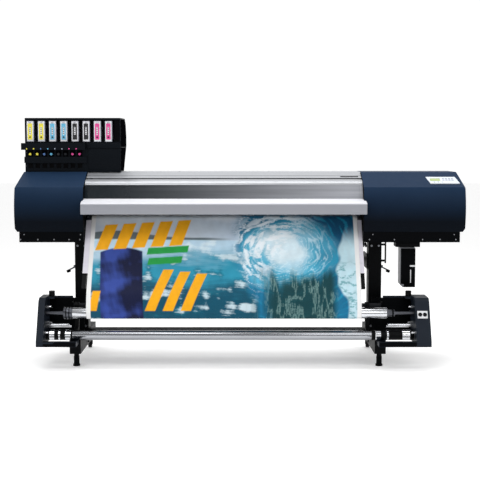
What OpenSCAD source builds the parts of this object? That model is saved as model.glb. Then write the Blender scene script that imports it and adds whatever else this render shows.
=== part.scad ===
// Roll-fed wide-format print-and-cut machine on a wheeled stand with a powered take-up unit.
// X runs along the machine (right, seen from the front), +Y to the rear, +Z up.
// The origin is on the floor under the middle of the machine. All lengths are millimetres.

/* [Machine] */
// Width over both side housings
overall_w = 2708; // [2690:1:2730]
// Width of the left side housing
left_housing_w = 412; // [400:1:425]
// Width of the right side housing
right_housing_w = 610; // [600:1:625]
// Height of the housings' flat top
housing_top_z = 1154; // [1150:1:1160]
// Wall thickness of the moulded housings
housing_wall = 4; // [3:0.5:5]

/* [Media] */
// Width of the media web
media_w = 1625; // [1580:1:1630]
// Middle of the web, along the machine
media_mid_x = -95; // [-97:1:-93]
// Height of the platen's working face
platen_z = 885; // [884:0.5:886]
// Slope of the web down the dryer apron, from vertical
apron_angle = 34; // [33:0.5:35]

/* [Stand] */
// Middle of the left leg's column
left_leg_x = -980; // [-982:1:-979]
// Middle of the right leg's column
right_leg_x = 834; // [833:1:836]
// Width of a column
column_w = 80; // [70:1:80]
// Underside of the foot beams
foot_beam_z = 81; // [81:1:84]

/* [Take-up unit] */
// Take-up core's axis, from the machine's middle towards the rear
core_y = -300; // [-301:1:-299]
// Height of the take-up core's axis
core_z = 328; // [327:1:329]
// Outside radius of the take-up core
core_r = 32.5; // [30:0.5:33]
// Outside radius of the tension bar
tension_r = 29.5; // [26:0.5:29.5]

/* [Ink cabinet] */
// Number of ink trays
ink_count = 8; // [8]
// Height of the cabinet's top
cabinet_top_z = 1485; // [1480:1:1500]

/* [Hidden] */
$fn = 48;
leg_x = [left_leg_x, right_leg_x];
core_axis = [core_y, core_z];
left_x = -overall_w / 2;
right_x = overall_w / 2;
bay_x = [left_x + left_housing_w, right_x - right_housing_w];
gap = 0.3;
running = 0.05;

tray_z = [735, 798];
tray_y = [-150, 290];
rear_y = 300;
bevel_front = [-145, 1068];
bevel_rear = [30, housing_top_z];
bevel_angle = atan2(bevel_rear[1] - bevel_front[1], bevel_rear[0] - bevel_front[0]);
bulge_r = 377;
bulge_mid = [202, 925];

web_t = 0.5;
web_x = [media_mid_x - media_w / 2, media_mid_x + media_w / 2];
nose_r = 40;
guide_r = 60.75;
guide_mid = [200, platen_z - 60];
web_z = platen_z + 0.5 + web_t / 2;
nose_mid = [0, web_z - nose_r];
roll_r = core_r + 1.5;
supply_r = 70;
supply_axis = [guide_mid[0] + guide_r - web_t / 2 - gap - supply_r, 600];
apron_len = 378;

beam_x = [-1320, 1316];
beam_y = [-20, 140];
beam_z = [tray_z[0] + 3, 795];
rail_x = [-1310, 1306];
rail_y = [110, 180];
rail_z = [980, 1060];
belt_y = 145;
belt_z = [rail_z[1] + 2, rail_z[1] + 12];
belt_r = 15;
idler_x = -1285;
drive_x = 1270;

grit_r = 12;
grit_axis = [115, platen_z + 0.2 - grit_r];
pinch_r = 10;
pinch_axis = [grit_axis[0], web_z + web_t / 2 + gap + pinch_r];
arm_axis = [170, 925];
arm_count = 8;
arm_pitch = 223;
arm_first_x = -880;

hinge_axis = [-22, 1104];
window_top = [-88, 1078];
window_foot = [-131, 997];

column_y = [10, 110];
foot_y = [-295, 400];
foot_beam_w = 66;
foot_beam_h = 84;
level_y = -240;
swivel_y = 350;
wheel_r = 30;
trail = 18;

dancer_axis = [-200, 360];
dancer_elbow = [-214, 231];
tension_axis = [-300, 196];
dancer_shaft_r = 12.5;
takeup_base_z = 142;
slope_foot = [-405, 171];
slope_top = [-295, 399];
slope_angle = atan2(slope_top[1] - slope_foot[1], slope_top[0] - slope_foot[0]);
left_box_x = [-1194.5, -1154.5];
right_box_x = [1035, 1121];
button_x = [1062, 1090];
button_up = 168;
lever_axis = [-60, 716];
clamp_axis = [60, 565];

cabinet_x = [-1325, -736];
cabinet_front_y = 55;
cabinet_rear_y = 405;
ink_pitch = 68.9;
ink_first_x = -1313;
ink_size = [43, 220, 127];
ink_floor_z = 1339;

// Which sub-part to show

// A box from its two ends on each axis.
module block(x, y, z) {
    translate([x[0], y[0], z[0]])
        cube([x[1] - x[0], y[1] - y[0], z[1] - z[0]]);
}

// A box with the same wall all round.
module box_tube(x, y, z, wall) {
    difference() {
        block(x, y, z);
        block([x[0] + wall, x[1] - wall], [y[0] + wall, y[1] - wall], [z[0] + wall, z[1] - wall]);
    }
}

// A side profile, drawn as (Y, Z), run along the machine.
module along_x(x) {
    translate([x[0], 0, 0])
        rotate([90, 0, 90])
            linear_extrude(x[1] - x[0])
                children();
}

module rod_x(x, axis, r) {
    translate([x[0], axis[0], axis[1]])
        rotate([0, 90, 0])
            cylinder(h = x[1] - x[0], r = r);
}

module rod_y(y, at, r) {
    translate([at[0], y[1], at[1]])
        rotate([90, 0, 0])
            cylinder(h = y[1] - y[0], r = r);
}

module rod_z(z, at, r) {
    translate([at[0], at[1], z[0]])
        cylinder(h = z[1] - z[0], r = r);
}

// A straight band between two points of a side profile.
module band(from, to, w) {
    length = norm(to - from);
    translate(from)
        rotate(atan2(to[1] - from[1], to[0] - from[0]))
            translate([0, -w / 2])
                square([length, w]);
}

function arc(mid, r, from, to, steps) =
    [for (i = [0 : steps]) let (a = from + (to - from) * i / steps) mid + r * [cos(a), sin(a)]];

// A point beside the sloping web: how far down the slope, and how far behind the web.
function beside_web(down, behind) =
    nose_mid + (nose_r - behind) * [-sin(90 - apron_angle), cos(90 - apron_angle)]
    + down * [-sin(apron_angle), -cos(apron_angle)];

// ---- stand ----

module leg(x, bracket_x) {
    beam_x_range = [x - foot_beam_w / 2, x + foot_beam_w / 2];
    beam_top = foot_beam_z + foot_beam_h;
    difference() {
        box_tube(beam_x_range, foot_y, [foot_beam_z, beam_top], 3);
        rod_z([foot_beam_z - 1, foot_beam_z + 4], [x, level_y], 8.3);
    }
    box_tube([x - column_w / 2, x + column_w / 2], column_y, [beam_top, tray_z[0]], 3);
    along_x([x - 3, x + 3])
        polygon([[column_y[0] - 120, beam_top], [column_y[0], beam_top], [column_y[0], 285]]);
    along_x([x - 3, x + 3])
        polygon([[column_y[1] + 120, beam_top], [column_y[1], beam_top], [column_y[1], 285]]);
    block([bracket_x, bracket_x + 10], [dancer_axis[0] - 15, column_y[0]],
        [dancer_axis[1] - 20, dancer_axis[1] + 20]);
}

module left_leg() {
    color("#1b1c1f") {
        leg(leg_x[0], leg_x[0] - 30);
        rod_x([leg_x[0] - column_w / 2 - 16, leg_x[0] - column_w / 2], clamp_axis, 4);
    }
}

module right_leg() {
    outer_x = leg_x[1] + column_w / 2;
    color("#1b1c1f") {
        leg(leg_x[1], leg_x[1] + 11);
        rod_x([outer_x, outer_x + 16], clamp_axis, 4);
        rod_z([590, 722], [outer_x + 26, 25], 5);
        for (z = [600, 700])
            block([outer_x, outer_x + 26], [20, 30], [z, z + 12]);
    }
}

module stand_crossbar() {
    inner_x = [leg_x[0] + column_w / 2, leg_x[1] - column_w / 2];
    plate_x = [leg_x[0] + foot_beam_w / 2, leg_x[1] - foot_beam_w / 2];
    color("#1b1c1f") {
        box_tube(inner_x, [30, 90], [125, 180], 3);
        block([plate_x[0], inner_x[0]], [20, 100], [95, 164]);
        block([inner_x[1], plate_x[1]], [20, 100], [95, 164]);
    }
}

module levelling_foot(x) {
    color("#8d9094") {
        rod_z([0, 12], [x, level_y], 21);
        rod_z([12, 60], [x, level_y], 17);
        rod_z([60, 130], [x, level_y], 8);
        translate([x, level_y, 60])
            cylinder(h = 12, r = 15, $fn = 6);
    }
}

module caster_fork(x) {
    axle = [swivel_y + trail, wheel_r];
    color("#3a3b3e") {
        rod_z([74, foot_beam_z - gap], [x, swivel_y], 24);
        for (side = [-16, 13])
            along_x([x + side, x + side + 3])
                polygon([[334, 74], [366, 74], [382, 36], [378, 22], [358, 22], [334, 60]]);
        rod_x([x - 16, x + 16], axle, 4);
        block([x - 16, x + 16], [352, 404], [66, 70]);
    }
}

module caster_wheel(x) {
    axle = [swivel_y + trail, wheel_r];
    color("#202124")
        difference() {
            rod_x([x - 11, x + 11], axle, wheel_r);
            rod_x([x - 12, x + 12], axle, 4 + running);
            for (side = [x - 12, x + 9])
                difference() {
                    rod_x([side, side + 3], axle, wheel_r - 8);
                    rod_x([side - 1, side + 4], axle, 10);
                }
        }
}

// ---- chassis and covers ----

module chassis_beam() {
    color("#2a2b2e")
        box_tube(beam_x, beam_y, beam_z, 3);
}

// An open tray whose end wall on the middle side clears the chassis beam.
module tray(x) {
    wall = 3;
    notch_x = x[0] < 0 ? [x[1] - 5, x[1] + 1] : [x[0] - 1, x[0] + 5];
    difference() {
        block(x, tray_y, tray_z);
        block([x[0] + wall, x[1] - wall], [tray_y[0] + wall, tray_y[1] - wall],
            [tray_z[0] + wall, tray_z[1] + 1]);
        block(notch_x, [beam_y[0] - 1, beam_y[1] + 1], [tray_z[0] + wall, tray_z[1] + 1]);
    }
}

module left_tray() {
    color("#17181a")
        tray([left_x + 24, bay_x[0]]);
}

module right_tray() {
    bottle = [1024.5, -20];
    color("#17181a") {
        difference() {
            tray([bay_x[1], right_x - 29]);
            block([1216.5, 1261.5], [tray_y[1] - 4, tray_y[1] + 1], [753.5, 780.5]);
        }
        block([951, 1098], [-70, 30], [723, tray_z[0]]);
        for (side = [[951, 957], [1092, 1098]])
            block(side, [-70, 30], [700, 723]);
        for (side = [[957, bottle[0] - 20], [bottle[0] + 20, 1092]])
            block(side, [-70, 30], [700, 703]);
        block([751, 757], [lever_axis[0] - 15, lever_axis[0] + 15], [700, tray_z[0]]);
        rod_x([757, 773], lever_axis, 5);
    }
}

// The housings' side profile, shrunk by a wall and run down to a given height.
module housing_profile(inset, bottom_z) {
    rise = tan(bevel_angle);
    front_y = -200;
    front_z = bevel_rear[1] + (front_y - bevel_rear[0]) * rise - inset / cos(bevel_angle);
    intersection() {
        polygon([[front_y, bottom_z], [front_y, front_z],
            [bevel_rear[0] + inset * tan(bevel_angle / 2), housing_top_z - inset],
            [rear_y - inset, housing_top_z - inset], [rear_y - inset, bottom_z]]);
        translate(bulge_mid)
            circle(r = bulge_r - inset, $fn = 96);
    }
}

// The space a housing fills, its outer end leaning in above the bevel's front edge.
module housing_volume(outer_x, inner_x, inset, bottom_z) {
    end_x = outer_x + inset;
    intersection() {
        along_x([end_x, inner_x])
            housing_profile(inset, bottom_z);
        translate([0, rear_y + 10, 0])
            rotate([90, 0, 0])
                linear_extrude(rear_y + 250)
                    polygon([[end_x, 818], [end_x, 1060], [end_x + 26, 1160], [inner_x, 1160],
                        [inner_x, bottom_z - 1], [end_x + 14, bottom_z - 1]]);
    }
}

// A housing with its closed end at the low X side and open towards the middle and below.
module housing_shell(outer_x, w) {
    difference() {
        housing_volume(outer_x, outer_x + w, 0, tray_z[1]);
        housing_volume(outer_x, outer_x + w + 1, housing_wall, tray_z[1] - 1);
    }
}

module left_housing() {
    color("#22365a")
        housing_shell(left_x, left_housing_w);
}

module right_housing() {
    color("#22365a")
        mirror([1, 0, 0])
            housing_shell(-right_x, right_housing_w);
}

module top_cover() {
    sheet = 3;
    slope_run = bevel_rear[0] + 45;
    color("#c8cacc")
        along_x(bay_x)
            polygon([[-12, 1119], [slope_run, housing_top_z], [rear_y, housing_top_z], [rear_y, 905],
                [rear_y - sheet, 905], [rear_y - sheet, housing_top_z - sheet],
                [slope_run + 1, housing_top_z - sheet], [-12, 1116]]);
}

// Places what is drawn flat onto the right housing's bevel: x along, y up the bevel.
module on_bevel() {
    translate([0, bevel_front[0], bevel_front[1]])
        rotate([bevel_angle, 0, 0])
            children();
}

module operation_panel() {
    color("#d5d8dc")
        on_bevel()
            difference() {
                linear_extrude(6)
                    polygon([[1150, 36], [1328, 36], [1308, 120], [1130, 120]]);
                translate([1152, 66, 4])
                    cube([62, 34, 3]);
            }
}

module apron() {
    end_w = 24;
    apron_x = [bay_x[0] + 3, bay_x[1] - 2];
    color("#dfe0ea") {
        difference() {
            along_x(apron_x)
                polygon([beside_web(8, 0.75), beside_web(apron_len, 0.75),
                    beside_web(apron_len, 22), beside_web(8, 22)]);
            along_x([apron_x[0] - 1, apron_x[1] + 1])
                polygon([beside_web(10, 3), beside_web(apron_len - 2, 3),
                    beside_web(apron_len - 2, 23), beside_web(10, 23)]);
        }
        for (x = [apron_x[0] + 40, media_mid_x, apron_x[1] - 44])
            along_x([x, x + 4])
                polygon([[beam_y[0], 742], [beam_y[0], 792], beside_web(93, 3), beside_web(200, 3)]);
        for (x = [apron_x[0], apron_x[1] - end_w])
            along_x([x, x + end_w])
                polygon([beside_web(apron_len, 6), beside_web(470, 6), beside_web(470, 22),
                    beside_web(apron_len, 22)]);
    }
}

module platen() {
    plate = 4;
    front = arc(nose_mid, nose_r - 0.75, 90 + 56, 90, 8);
    rear = arc(guide_mid, guide_r - 0.75, 90, 0, 10);
    rear_inner = arc(guide_mid, guide_r - 0.75 - plate, 0, 90, 10);
    front_inner = arc(nose_mid, nose_r - 0.75 - plate, 90, 90 + 56, 8);
    platen_x = [bay_x[0] + 2, bay_x[1] - 2];
    color("#6d7075")
        difference() {
            union() {
                along_x(platen_x)
                    polygon(concat(front, rear, rear_inner, front_inner));
                block(platen_x, [0, 4], [beam_z[1], platen_z - 2]);
                block(platen_x, [134, 138], [beam_z[1], platen_z - 2]);
                for (x = [platen_x[0], platen_x[1] - 10])
                    block([x, x + 10], [100, 185], [beam_z[1], 940]);
            }
            block([platen_x[0] + 20, platen_x[1] - 15], [101, 129], [870, platen_z + 5]);
            rod_x([platen_x[0] - 1, platen_x[1] + 1], grit_axis, 6 + running);
            rod_x([platen_x[0] - 1, platen_x[1] + 1], arm_axis, 8 + running);
            for (i = [0 : 19])
                rod_z([860, platen_z + 1], [web_x[0] + 60 + i * 79, 60], 3);
        }
}

module capping_station() {
    color("#3c3f44")
        block([900, 1160], [-10, 85], [beam_z[1], 880]);
    color("#1a1a1c")
        for (x = [930, 1045])
            box_tube([x, x + 85], [5, 75], [880, 895.5], 2.5);
}

// The mains inlet at the rear and the supply behind it.
module power_unit() {
    inlet_mid = [1239, 767];
    color("#26272a") {
        block([1190, 1290], [200, 284], [beam_z[0], 792]);
        difference() {
            union() {
                block([inlet_mid[0] - 22, inlet_mid[0] + 22], [284, tray_y[1]], [754, 780]);
                block([inlet_mid[0] - 27, inlet_mid[0] + 27], [tray_y[1], tray_y[1] + 5], [750, 784]);
            }
            block([inlet_mid[0] - 12, inlet_mid[0] + 12], [286, tray_y[1] + 6], [758, 775]);
        }
    }
}

// ---- front cover ----

module cover_frame() {
    cover_x = [bay_x[0] + 1, bay_x[1] - 1];
    bar_x = [bay_x[0] - 6, bay_x[1] + 12];
    cheek = 20;
    color("#c8cacc") {
        along_x(cover_x)
            polygon([[-22, 1111], [-50, 1107], [-74, 1095], window_top, [-82, 1075], [-70, 1089],
                [-48, 1101], [-22, 1104]]);
        rod_x(cover_x, hinge_axis, 7);
        for (x = [cover_x[0], cover_x[1] - cheek])
            along_x([x, x + cheek])
                polygon([window_top, window_foot, [-136, 990], [-122, 988], [-76, 1084]]);
        along_x(cover_x)
            polygon([[-182, 987.5], [-140, 996], window_foot, [-128, 993], [-136, 988], [-182, 979]]);
        difference() {
            along_x(bar_x)
                polygon([[-240, 908], [-240, 970], [-234, 977], [-180, 988], [-180, 908]]);
            along_x([bar_x[0] + 3, bar_x[1] - 3])
                polygon([[-237, 911], [-237, 969], [-232, 974], [-183, 984], [-183, 911]]);
        }
    }
}

module cover_window() {
    inward = 3 * [0.883, -0.469];
    color("#3b4046", 0.6)
        along_x([bay_x[0] + 21, bay_x[1] - 21])
            polygon([window_top, window_foot, window_foot + inward, window_top + inward]);
}

// ---- carriages ----

module carriage_rail() {
    color("#9da1a6") {
        difference() {
            box_tube(rail_x, rail_y, rail_z, 4);
            rod_z([rail_z[0] - 1, rail_z[1] + 1], [drive_x, belt_y], 4 + running);
        }
        for (x = [rail_x[0] - 8, rail_x[1]])
            block([x, x + 8], [rail_y[0] - 10, rail_y[1] + 10], [beam_z[1], rail_z[1]]);
        rod_z([rail_z[1], rail_z[1] + 14], [idler_x, belt_y], 4);
    }
}

// The slider on the rail's front face, with the arm that reaches over to the belt.
module slider(x) {
    block(x, [95, rail_y[0] - gap], [rail_z[0] + 5, rail_z[1] - 5]);
    mid = (x[0] + x[1]) / 2;
    block([mid - 15, mid + 15], [95, rail_y[0] - gap], [rail_z[1] - 5, belt_z[1]]);
    block([mid - 15, mid + 15], [95, belt_y - belt_r - 1.5 - gap], [belt_z[0], belt_z[1]]);
}

module print_carriage() {
    x = [880, 1180];
    color("#4a4d52") {
        difference() {
            block(x, [-20, 95], [900, 1040]);
            block([x[0] + 3, x[1] - 3], [-17, 92], [903, 1041]);
        }
        slider(x);
        for (i = [0, 1])
            block([x[0] + 55 + i * 115, x[0] + 130 + i * 115], [8, 72], [897, 920]);
    }
}

module cutting_carriage() {
    x = [-1190, -1080];
    color("#5a5d62") {
        block(x, [25, 95], [910, 1045]);
        slider(x);
        difference() {
            block([-1155, -1115], [-12, 25], [920, 945]);
            rod_z([919, 946], [-1135, 5], 9 + running);
        }
    }
}

module blade_holder() {
    color("#b9bdc2") {
        rod_z([900, 970], [-1135, 5], 9);
        rod_z([893, 900], [-1135, 5], 4);
        rod_z([945 + gap + 3, 952], [-1135, 5], 12);
    }
}

module loop_outline(r) {
    for (x = [idler_x, drive_x])
        translate([x, belt_y])
            circle(r = r);
    translate([idler_x, belt_y - r])
        square([drive_x - idler_x, 2 * r]);
}

module scan_belt() {
    color("#1a1a1c")
        translate([0, 0, belt_z[0]])
            linear_extrude(belt_z[1] - belt_z[0])
                difference() {
                    loop_outline(belt_r + 1.5);
                    loop_outline(belt_r + gap);
                }
}

module drive_pulley() {
    color("#b9bdc2") {
        rod_z([rail_z[1] + gap, belt_z[1] + 2], [drive_x, belt_y], belt_r);
        rod_z([rail_z[0] + gap, rail_z[1] + gap], [drive_x, belt_y], 4);
    }
}

module idler_pulley() {
    color("#b9bdc2")
        difference() {
            rod_z([rail_z[1] + gap, belt_z[1] + 2], [idler_x, belt_y], belt_r);
            rod_z([rail_z[1] - 1, belt_z[1] + 3], [idler_x, belt_y], 4 + running);
        }
}

module scan_motor() {
    color("#2d2f33")
        block([drive_x - 28, drive_x + 28], [belt_y - 28, belt_y + 28], [905, rail_z[0]]);
}

// ---- media feed ----

module grit_roller() {
    color("#8f9296") {
        rod_x([web_x[0] - 5, web_x[1] + 5], grit_axis, grit_r);
        rod_x([bay_x[0] + 4, bay_x[1] - 4], grit_axis, 6);
    }
}

function arm_x(i) = arm_first_x + i * arm_pitch;

module pinch_arms() {
    color("#3f4247") {
        rod_x([bay_x[0] + 5, bay_x[1] - 5], arm_axis, 8);
        for (i = [0 : arm_count - 1]) {
            for (side = [-17, 14])
                along_x([arm_x(i) + side, arm_x(i) + side + 3])
                    polygon([[180, 915], [180, 935], [160, 935], [106, 904], [106, 890], [122, 890]]);
            rod_x([arm_x(i) - 17, arm_x(i) + 17], pinch_axis, 2);
        }
    }
}

module pinch_rollers() {
    color("#1f2023")
        for (i = [0 : arm_count - 1])
            difference() {
                rod_x([arm_x(i) - 12, arm_x(i) + 12], pinch_axis, pinch_r);
                rod_x([arm_x(i) - 13, arm_x(i) + 13], pinch_axis, 2 + running);
            }
}

module loading_lever() {
    color("#b9bdc2")
        difference() {
            union() {
                rod_x([757 + gap, 771], lever_axis, 10);
                along_x([759, 769])
                    polygon([[-60, 707], [-60, 725], [-118, 714], [-122, 708], [-118, 702]]);
            }
            rod_x([756, 774], lever_axis, 5 + running);
        }
}

// The web from the supply roll over the platen and the apron to the take-up roll.
module media_web() {
    end_y = core_axis[0] - roll_r - gap - web_t / 2;
    start = beside_web(0, 0);
    straight = (start[0] - end_y) / tan(apron_angle / 2) - (start[1] - core_axis[1]);
    drop_r = (beside_web(straight, 0)[1] - core_axis[1]) / sin(apron_angle);
    drop_mid = [end_y + drop_r, core_axis[1]];
    function edge(t) = concat(
        arc(drop_mid, drop_r + t, 180, 180 - apron_angle, 8),
        arc(nose_mid, nose_r + t, 90 + 56, 90, 8),
        arc(guide_mid, guide_r + t, 90, 0, 10),
        [[guide_mid[0] + guide_r + t, supply_axis[1]]]);
    outer = edge(web_t / 2);
    inner = edge(-web_t / 2);
    color("#7fb4c8")
        along_x(web_x)
            polygon(concat(outer, [for (i = [len(inner) - 1 : -1 : 0]) inner[i]]));
}

// ---- supply side ----

module supply_roll() {
    color("#f2f2ef")
        difference() {
            rod_x(web_x, supply_axis, supply_r);
            rod_x([web_x[0] - 1, web_x[1] + 1], supply_axis, 38);
        }
}

module supply_flanges() {
    stub_end = [leg_x[0] + column_w / 2 + 0.5, leg_x[1] - column_w / 2 - 0.5];
    color("#2a2b2e") {
        rod_x([web_x[0] - 10, web_x[0] - 0.5], supply_axis, 85);
        rod_x([web_x[0] - 0.5, web_x[0] + 45], supply_axis, 37.5);
        rod_x([stub_end[0], web_x[0] - 10], supply_axis, 12);
        rod_x([web_x[1] + 0.5, web_x[1] + 10], supply_axis, 85);
        rod_x([web_x[1] - 45, web_x[1] + 0.5], supply_axis, 37.5);
        rod_x([web_x[1] + 10, stub_end[1]], supply_axis, 12);
    }
}

module supply_brackets() {
    inner_x = [leg_x[0] + column_w / 2, leg_x[1] - column_w / 2];
    color("#1b1c1f")
        for (x = [inner_x[0], inner_x[1] - 10])
            difference() {
                block([x, x + 10], [20, supply_axis[0] + 35], [555, 645]);
                rod_x([x - 1, x + 11], supply_axis, 12 + running);
            }
}

// ---- take-up unit ----

module takeup_shell(x, wall, bore_x) {
    difference() {
        along_x(x)
            polygon([[slope_foot[0], takeup_base_z], slope_foot, slope_top, [-270, 415], [-125, 415],
                [-125, takeup_base_z]]);
        along_x([x[0] + wall, x[1] - wall])
            polygon([[slope_foot[0] + wall, takeup_base_z + wall],
                [slope_foot[0] + wall, slope_foot[1]], [slope_top[0] + wall, slope_top[1] - 2],
                [-269, 415 - wall], [-125 - wall, 415 - wall], [-125 - wall, takeup_base_z + wall]]);
        rod_x(bore_x, core_axis, 10 + running);
    }
}

// The bar from a take-up box to the front end of its foot beam, and the panel behind it.
module takeup_frame(bar_x, foot_x, panel_x) {
    block(bar_x, [slope_foot[0], -370], [takeup_base_z, slope_foot[1]]);
    block(foot_x, [-370, foot_y[0]], [takeup_base_z, 164]);
    block(panel_x, [-131, -125], [150, 408]);
}

module takeup_left_box() {
    inner_x = left_box_x[1];
    foot_x = [leg_x[0] - 28, leg_x[0] + 22];
    color("#2c3238") {
        takeup_shell(left_box_x, 3, [inner_x - 5, inner_x + 1]);
        takeup_frame([inner_x, foot_x[1]], foot_x, [inner_x, leg_x[0] - foot_beam_w / 2]);
        block([inner_x, inner_x + 38], [-200, -131], [398, 410]);
    }
}

// Places what is drawn flat onto the take-up box's sloping front: y up the slope.
module on_slope() {
    translate([0, slope_foot[0], slope_foot[1]])
        rotate([slope_angle, 0, 0])
            children();
}

module takeup_right_box() {
    inner_x = right_box_x[0];
    foot_x = [leg_x[1] - 22, leg_x[1] + 28];
    color("#2c3238")
        difference() {
            union() {
                takeup_shell(right_box_x, 3, [inner_x - 1, inner_x + 5]);
                takeup_frame([foot_x[0], inner_x], foot_x, [leg_x[1] + foot_beam_w / 2, inner_x]);
                block([inner_x - 38, inner_x], [-200, -131], [398, 410]);
                on_slope()
                    translate([1048, 147, 0])
                        cube([56, 42, 3]);
            }
            for (x = button_x)
                on_slope()
                    rod_z([-6, 4], [x, button_up], 9 + 0.2);
        }
}

module push_button(x) {
    on_slope()
        rod_z([-2, 8], [x, button_up], 9);
}

module forward_button() {
    color("#1a1a1c")
        push_button(button_x[0]);
}

module reverse_button() {
    color("#1a1a1c")
        push_button(button_x[1]);
}

module lock_knob(x) {
    color("#1a1a1c")
        difference() {
            rod_z([410 + gap, 443], [x, -165], 18);
            for (a = [0 : 45 : 315])
                rod_z([418, 444], [x + 20 * cos(a), -165 + 20 * sin(a)], 4);
        }
}

module takeup_core() {
    ends = [leg_x[0] - 12, leg_x[1] + 33];
    color("#eceae4")
        difference() {
            union() {
                rod_x(ends, core_axis, core_r);
                rod_x(web_x, core_axis, roll_r);
            }
            rod_x([ends[0] - 1, ends[1] + 1], core_axis, 25.5);
        }
}

module takeup_hubs() {
    ends = [leg_x[0] - 12, leg_x[1] + 33];
    color("#b9bdc2") {
        rod_x([left_box_x[1] - 10, ends[0] - 50], core_axis, 10);
        rod_x([ends[0] - 50, ends[0]], core_axis, 35.5);
        rod_x([ends[0], ends[0] + 27], core_axis, 25.4);
        rod_x([ends[1] - 27, ends[1]], core_axis, 25.4);
        rod_x([ends[1], ends[1] + 7], core_axis, 28);
        rod_x([ends[1] + 7, ends[1] + 49], core_axis, 20);
        rod_x([ends[1] + 49, right_box_x[0] + 10], core_axis, 10);
    }
}

module dancer_arm(x) {
    along_x(x)
        difference() {
            union() {
                translate(dancer_axis)
                    circle(r = 20);
                band(dancer_axis, dancer_elbow, 26);
                translate(dancer_elbow)
                    circle(r = 14);
                band(dancer_elbow, tension_axis, 26);
            }
            translate(dancer_axis)
                circle(r = dancer_shaft_r + running);
            translate(tension_axis)
                circle(r = tension_r - 1);
        }
}

module tension_bar() {
    ends = [-1150, 1030];
    color("#c9ccd0") {
        difference() {
            rod_x(ends, tension_axis, tension_r);
            rod_x([ends[0] + 2, ends[1] - 2], tension_axis, tension_r - 2);
        }
    }
    color("#3f4247") {
        dancer_arm([-990, -966]);
        dancer_arm([750, 776]);
    }
}

module dancer_shaft() {
    color("#54575c")
        rod_x([leg_x[0] - 20, leg_x[1] + 11], dancer_axis, dancer_shaft_r);
}

// A clamp lever on a column's outer face; side is -1 on the left and 1 on the right.
module clamp_lever(face_x, side) {
    hub_x = side < 0 ? [face_x - 15, face_x - gap] : [face_x + gap, face_x + 15];
    difference() {
        union() {
            rod_x(hub_x, clamp_axis, 9);
            translate([face_x + side * 10, clamp_axis[0], clamp_axis[1] - 4])
                rotate([0, side * 116, 0])
                    cylinder(h = 55, r = 4.5);
        }
        rod_x([face_x - 17, face_x + 17], clamp_axis, 4 + running);
    }
}

module left_clamp_lever() {
    color("#b9bdc2")
        clamp_lever(leg_x[0] - column_w / 2, -1);
}

module right_clamp_lever() {
    color("#b9bdc2")
        clamp_lever(leg_x[1] + column_w / 2, 1);
}

// ---- waste ink and ink supply ----

module waste_bottle() {
    mid = [1024.5, -20];
    color("#c9cbd0") {
        difference() {
            block([979, 1070], [-65, 25], [451, 696]);
            block([982, 1067], [-62, 22], [454, 693]);
            rod_z([690, 697], mid, 15);
            translate([0, 30, 0])
                rotate([90, 0, 0])
                    linear_extrude(100)
                        polygon([[978, 450], [999, 450], [978, 471]]);
        }
        difference() {
            union() {
                rod_z([694, 706], mid, 18);
                rod_z([703 + gap, 708], mid, 26);
            }
            rod_z([690, 709], mid, 15);
        }
    }
}

module ink_cabinet() {
    color("#141518")
        difference() {
            union() {
                along_x(cabinet_x)
                    polygon([[cabinet_front_y, housing_top_z], [cabinet_front_y, cabinet_top_z],
                        [320, cabinet_top_z], [370, 1450], [cabinet_rear_y, 1380],
                        [cabinet_rear_y, 1310], [300, 1210], [240, housing_top_z]]);
                block([cabinet_x[0] - 19, -950], [22, cabinet_front_y], [1289, 1331]);
                block([cabinet_x[0] - 4, -945], [45, cabinet_front_y], [1209, 1247]);
                for (i = [0 : ink_count - 1])
                    rod_y([42, cabinet_front_y], [-1292 + i * 43.4, 1263], 9.5);
            }
            along_x([cabinet_x[0] + 6, cabinet_x[1] - 6])
                polygon([[cabinet_front_y - 1, ink_floor_z - gap], [cabinet_front_y - 1, 1472],
                    [315, 1472], [362, 1442], [cabinet_rear_y - 8, 1378],
                    [cabinet_rear_y - 8, ink_floor_z - gap]]);
            along_x([cabinet_x[0] + 6, cabinet_x[1] - 6])
                polygon([[cabinet_front_y + 4, housing_top_z - 1], [cabinet_front_y + 4, 1328],
                    [cabinet_rear_y - 8, 1328], [cabinet_rear_y - 8, 1314], [294, 1216],
                    [233, housing_top_z - 1]]);
        }
}

module ink_tray(i) {
    x = ink_first_x + i * ink_pitch;
    y = cabinet_front_y - 3;
    color("#e8e8e4")
        difference() {
            block([x, x + ink_size[0]], [y, y + ink_size[1]],
                [ink_floor_z, ink_floor_z + ink_size[2]]);
            block([x + 2, x + ink_size[0] - 2], [y + 2, y + ink_size[1] - 2],
                [ink_floor_z + 12, ink_floor_z + ink_size[2] + 1]);
        }
}

left_leg();
right_leg();
stand_crossbar();
levelling_foot(leg_x[0]);  // left_foot
levelling_foot(leg_x[1]);  // right_foot
caster_fork(leg_x[0]);  // left_caster_fork
caster_fork(leg_x[1]);  // right_caster_fork
caster_wheel(leg_x[0]);  // left_caster_wheel
caster_wheel(leg_x[1]);  // right_caster_wheel
chassis_beam();
left_tray();
right_tray();
left_housing();
right_housing();
top_cover();
apron();
platen();
carriage_rail();
capping_station();
power_unit();
cover_frame();
cover_window();
operation_panel();
print_carriage();
cutting_carriage();
blade_holder();
scan_belt();
drive_pulley();
idler_pulley();
scan_motor();
grit_roller();
pinch_arms();
pinch_rollers();
loading_lever();
supply_roll();
supply_flanges();
supply_brackets();
takeup_left_box();
takeup_right_box();
takeup_core();
takeup_hubs();
tension_bar();
dancer_shaft();
forward_button();
reverse_button();
lock_knob(left_box_x[1] + 19);  // left_lock_knob
lock_knob(right_box_x[0] - 19);  // right_lock_knob
left_clamp_lever();
right_clamp_lever();
media_web();
waste_bottle();
ink_cabinet();
ink_tray(0);  // ink_tray_1
ink_tray(1);  // ink_tray_2
ink_tray(2);  // ink_tray_3
ink_tray(3);  // ink_tray_4
ink_tray(4);  // ink_tray_5
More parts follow.
